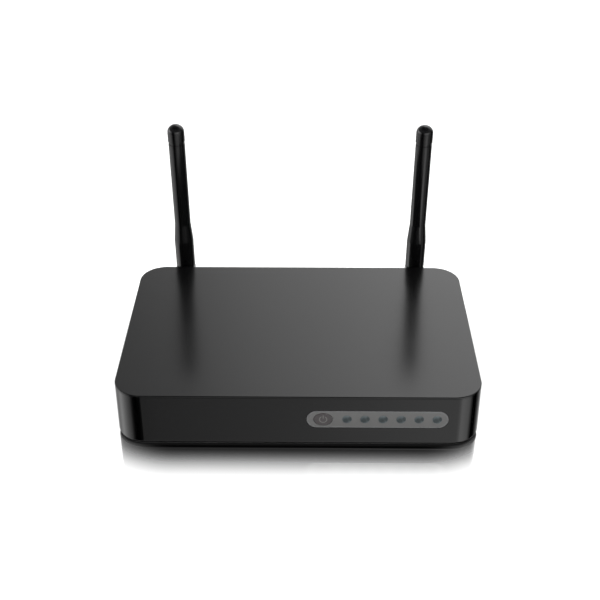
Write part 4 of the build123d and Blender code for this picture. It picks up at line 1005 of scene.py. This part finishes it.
STUDIO_TOP = 2.0  # the brightness that a level of one stands for
PLAIN_LEVEL = 0.55  # what the camera sees behind the floor
HORIZON_GAIN = 2.2  # how much brighter the studio is close to the horizon
CROWN_LEVEL = 0.08  # how far it dims overhead

# Levels round the studio as seen in reflections, by degrees to the right of the front: up to a little
# above the horizon, and higher up
BELOW = [(-180, 0.5), (-160, 0.33), (-136, 0.27), (-127, 0.29), (-120, 0.40), (-112, 0.60), (-104, 0.78),
         (-95, 0.785), (-80, 0.625), (-64, 0.39), (-57, 0.28), (-50, 0.09), (-44, 0.02), (-38, 0.0), (-24, 0.0),
         (-19, 0.017), (-15, 0.062), (-11.5, 0.14), (-10.4, 0.185), (0, 0.30), (8.5, 0.455), (24, 0.455),
         (33, 0.60), (40, 0.44), (60, 0.18), (84, 0.10), (90, 0.0), (108, 0.0), (128, 0.16), (140, 0.3), (180, 0.5)]
ABOVE = [(-180, 0.685), (-176, 0.585), (-172, 0.335), (-168, 0.24), (-150, 0.2), (-100, 0.12), (-35, 0.08),
         (35, 0.08), (100, 0.15), (150, 0.9), (168, 1.0), (172, 0.97), (176, 0.85), (180, 0.685)]


def build_studio():
    """Soft surroundings: pale and dark stretches that reflections show, and a plain backdrop for all else.

    The bands are by z, the height on a sphere of radius one.
    """
    world = bpy.data.worlds.new("studio")
    world.use_nodes = True
    world.node_tree.nodes.clear()
    tree = Tree(world.node_tree)
    x, y, z = tree.split(tree.node("ShaderNodeTexCoord").outputs["Generated"])
    bearing = tree.math("ARCTAN2", x, tree.math("MULTIPLY", y, -1.0))
    turn = tree.math("MULTIPLY_ADD", bearing, 1.0 / (2 * pi), 0.5)
    below = ramp(tree, turn, [(compass(angle), level) for angle, level in BELOW])
    above = ramp(tree, turn, [(compass(angle), level) for angle, level in ABOVE])
    near_horizon = tree.math("MULTIPLY", tree.remap(z, -0.08, 0.12), tree.remap(z, 0.4, 0.2))
    horizon = tree.blend(near_horizon, grey(1.0), grey(HORIZON_GAIN))
    crown = tree.blend(tree.remap(z, 0.72, 0.9), grey(1.0), grey(CROWN_LEVEL))
    studio = tree.blend(
        tree.remap(z, 0.2, 0.4),
        tree.vector("MULTIPLY", below, horizon),
        tree.vector("MULTIPLY", above, crown),
    )
    path = tree.node("ShaderNodeLightPath")
    plain = tree.math("MAXIMUM", path.outputs["Is Camera Ray"], path.outputs["Is Singular Ray"])
    level = tree.blend(plain, studio, grey(PLAIN_LEVEL))
    background = tree.node("ShaderNodeBackground")
    tree.join(level, background.inputs["Color"])
    background.inputs["Strength"].default_value = STUDIO_TOP
    output = tree.node("ShaderNodeOutputWorld")
    tree.join(background.outputs[0], output.inputs["Surface"])
    bpy.context.scene.world = world


def build_card(name, start, end, levels, low, level):
    """An upright light card that only reflections see.

    It runs from one place on the plan to another, from just under the floor down to the height low.
    Its levels are (y, level) stops.
    """
    high = -1 * MM
    material, tree, surface = bare_material(name)
    first, last = levels[0][0], levels[-1][0]
    along = tree.math("DIVIDE", tree.math("SUBTRACT", tree.split(tree.place())[1], first), last - first)
    shade = ramp(tree, along, [((y - first) / (last - first), value) for y, value in levels])
    glow = tree.node("ShaderNodeEmission")
    tree.join(shade, glow.inputs["Color"])
    glow.inputs["Strength"].default_value = level
    tree.join(glow.outputs[0], surface)
    card = stage_flat(name, [(*start, low), (*end, low), (*end, high), (*start, high)], material)
    for kind in ("camera", "diffuse", "shadow", "transmission"):
        setattr(card, f"visible_{kind}", False)


def build_cards(look):
    """A narrow card at the right of the front, and a long one down the left."""
    right_levels = [(-0.199, 0.71), (-0.189, 0.945), (-0.178, 0.94), (-0.168, 0.86), (-0.147, 0.69),
                    (-0.126, 0.53), (-0.116, 0.36), (-0.105, 0.2), (-0.095, 0.1)]
    build_card("right_card", (0.167, -0.199), (0.303, -0.095), right_levels, -0.4, look.card_level)
    left_levels = [(-0.22, 0.18), (-0.17, 0.34), (-0.116, 0.5), (-0.059, 0.66), (0.0, 0.69), (0.26, 0.6)]
    build_card("left_card", (-0.358, -0.22), (-0.42, 0.26), left_levels, -0.155, look.card_level)


def build_soft_light(look):
    """One wide soft light overhead."""
    light = bpy.data.lights.new("overhead", "AREA")
    light.shape = "RECTANGLE"
    light.size, light.size_y = 1.6, 1.2
    light.energy = look.soft_light
    lamp = add_object("overhead", light)
    lamp.location = (0.0, 0.0, 1.5)
    lamp.visible_glossy = False


def build_camera(look):
    """The camera in front of the case, looking down at a point just above its top."""
    camera = bpy.data.cameras.new("camera")
    camera.lens = look.lens_length
    camera.sensor_width = 36.0
    viewer = add_object("camera", camera)
    aim = Vector((look.aim_side, float(CASE_MIDDLE[1]), TOP + look.aim_height))
    pitch = look.camera_pitch
    viewer.location = aim + look.camera_distance * Vector((0, -cos(pitch), sin(pitch)))
    viewer.location.x += look.camera_side
    viewer.rotation_euler = (aim - viewer.location).to_track_quat("-Z", "Y").to_euler()
    bpy.context.scene.camera = viewer


class TERMINAL_OT_stage(Operator):
    """Set the floor, the surroundings, the light and the camera"""

    bl_idname = "terminal.stage"
    bl_label = "Stage"

    def execute(self, context):
        look = context.scene.terminal_stage
        build_floor(look)
        build_studio()
        build_cards(look)
        build_soft_light(look)
        build_camera(look)
        context.scene.view_settings.view_transform = "Standard"
        return {"FINISHED"}


# ---- Panel, registration and run ----

GROUPS = {
    "terminal_case": CaseFinish,
    "terminal_window": WindowFinish,
    "terminal_antenna": AntennaFinish,
    "terminal_marks": MarkFinish,
    "terminal_stage": StageLook,
}
OPERATORS = (
    TERMINAL_OT_stage,
    TERMINAL_OT_case,
    TERMINAL_OT_window,
    TERMINAL_OT_lenses,
    TERMINAL_OT_button,
    TERMINAL_OT_antennas,
    TERMINAL_OT_sockets,
    TERMINAL_OT_marks,
    TERMINAL_OT_inside,
    TERMINAL_OT_fasteners,
)


class TERMINAL_PT_panel(Panel):
    """Lists the terminal's settings and operators"""

    bl_idname = "TERMINAL_PT_panel"
    bl_label = "Network terminal"
    bl_space_type = "VIEW_3D"
    bl_region_type = "UI"
    bl_category = "Terminal"

    def draw(self, context):
        for name in GROUPS:
            box = self.layout.box()
            for key in getattr(context.scene, name).bl_rna.properties.keys():
                if key not in {"rna_type", "name"}:
                    box.prop(getattr(context.scene, name), key)
        for operator in OPERATORS:
            self.layout.operator(operator.bl_idname)


def register():
    """Registers the settings, operators and panel."""
    for name, group in GROUPS.items():
        bpy.utils.register_class(group)
        setattr(bpy.types.Scene, name, PointerProperty(type=group))
    for item in (*OPERATORS, TERMINAL_PT_panel):
        bpy.utils.register_class(item)


def unregister():
    """Removes what register added."""
    for item in reversed((*OPERATORS, TERMINAL_PT_panel)):
        bpy.utils.unregister_class(item)
    for name, group in GROUPS.items():
        delattr(bpy.types.Scene, name)
        bpy.utils.unregister_class(group)


def main():
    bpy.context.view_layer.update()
    register()
    for operator in OPERATORS:
        area, name = operator.bl_idname.split(".")
        getattr(getattr(bpy.ops, area), name)()
    bpy.context.view_layer.update()


if __name__ == "__main__":
    main()
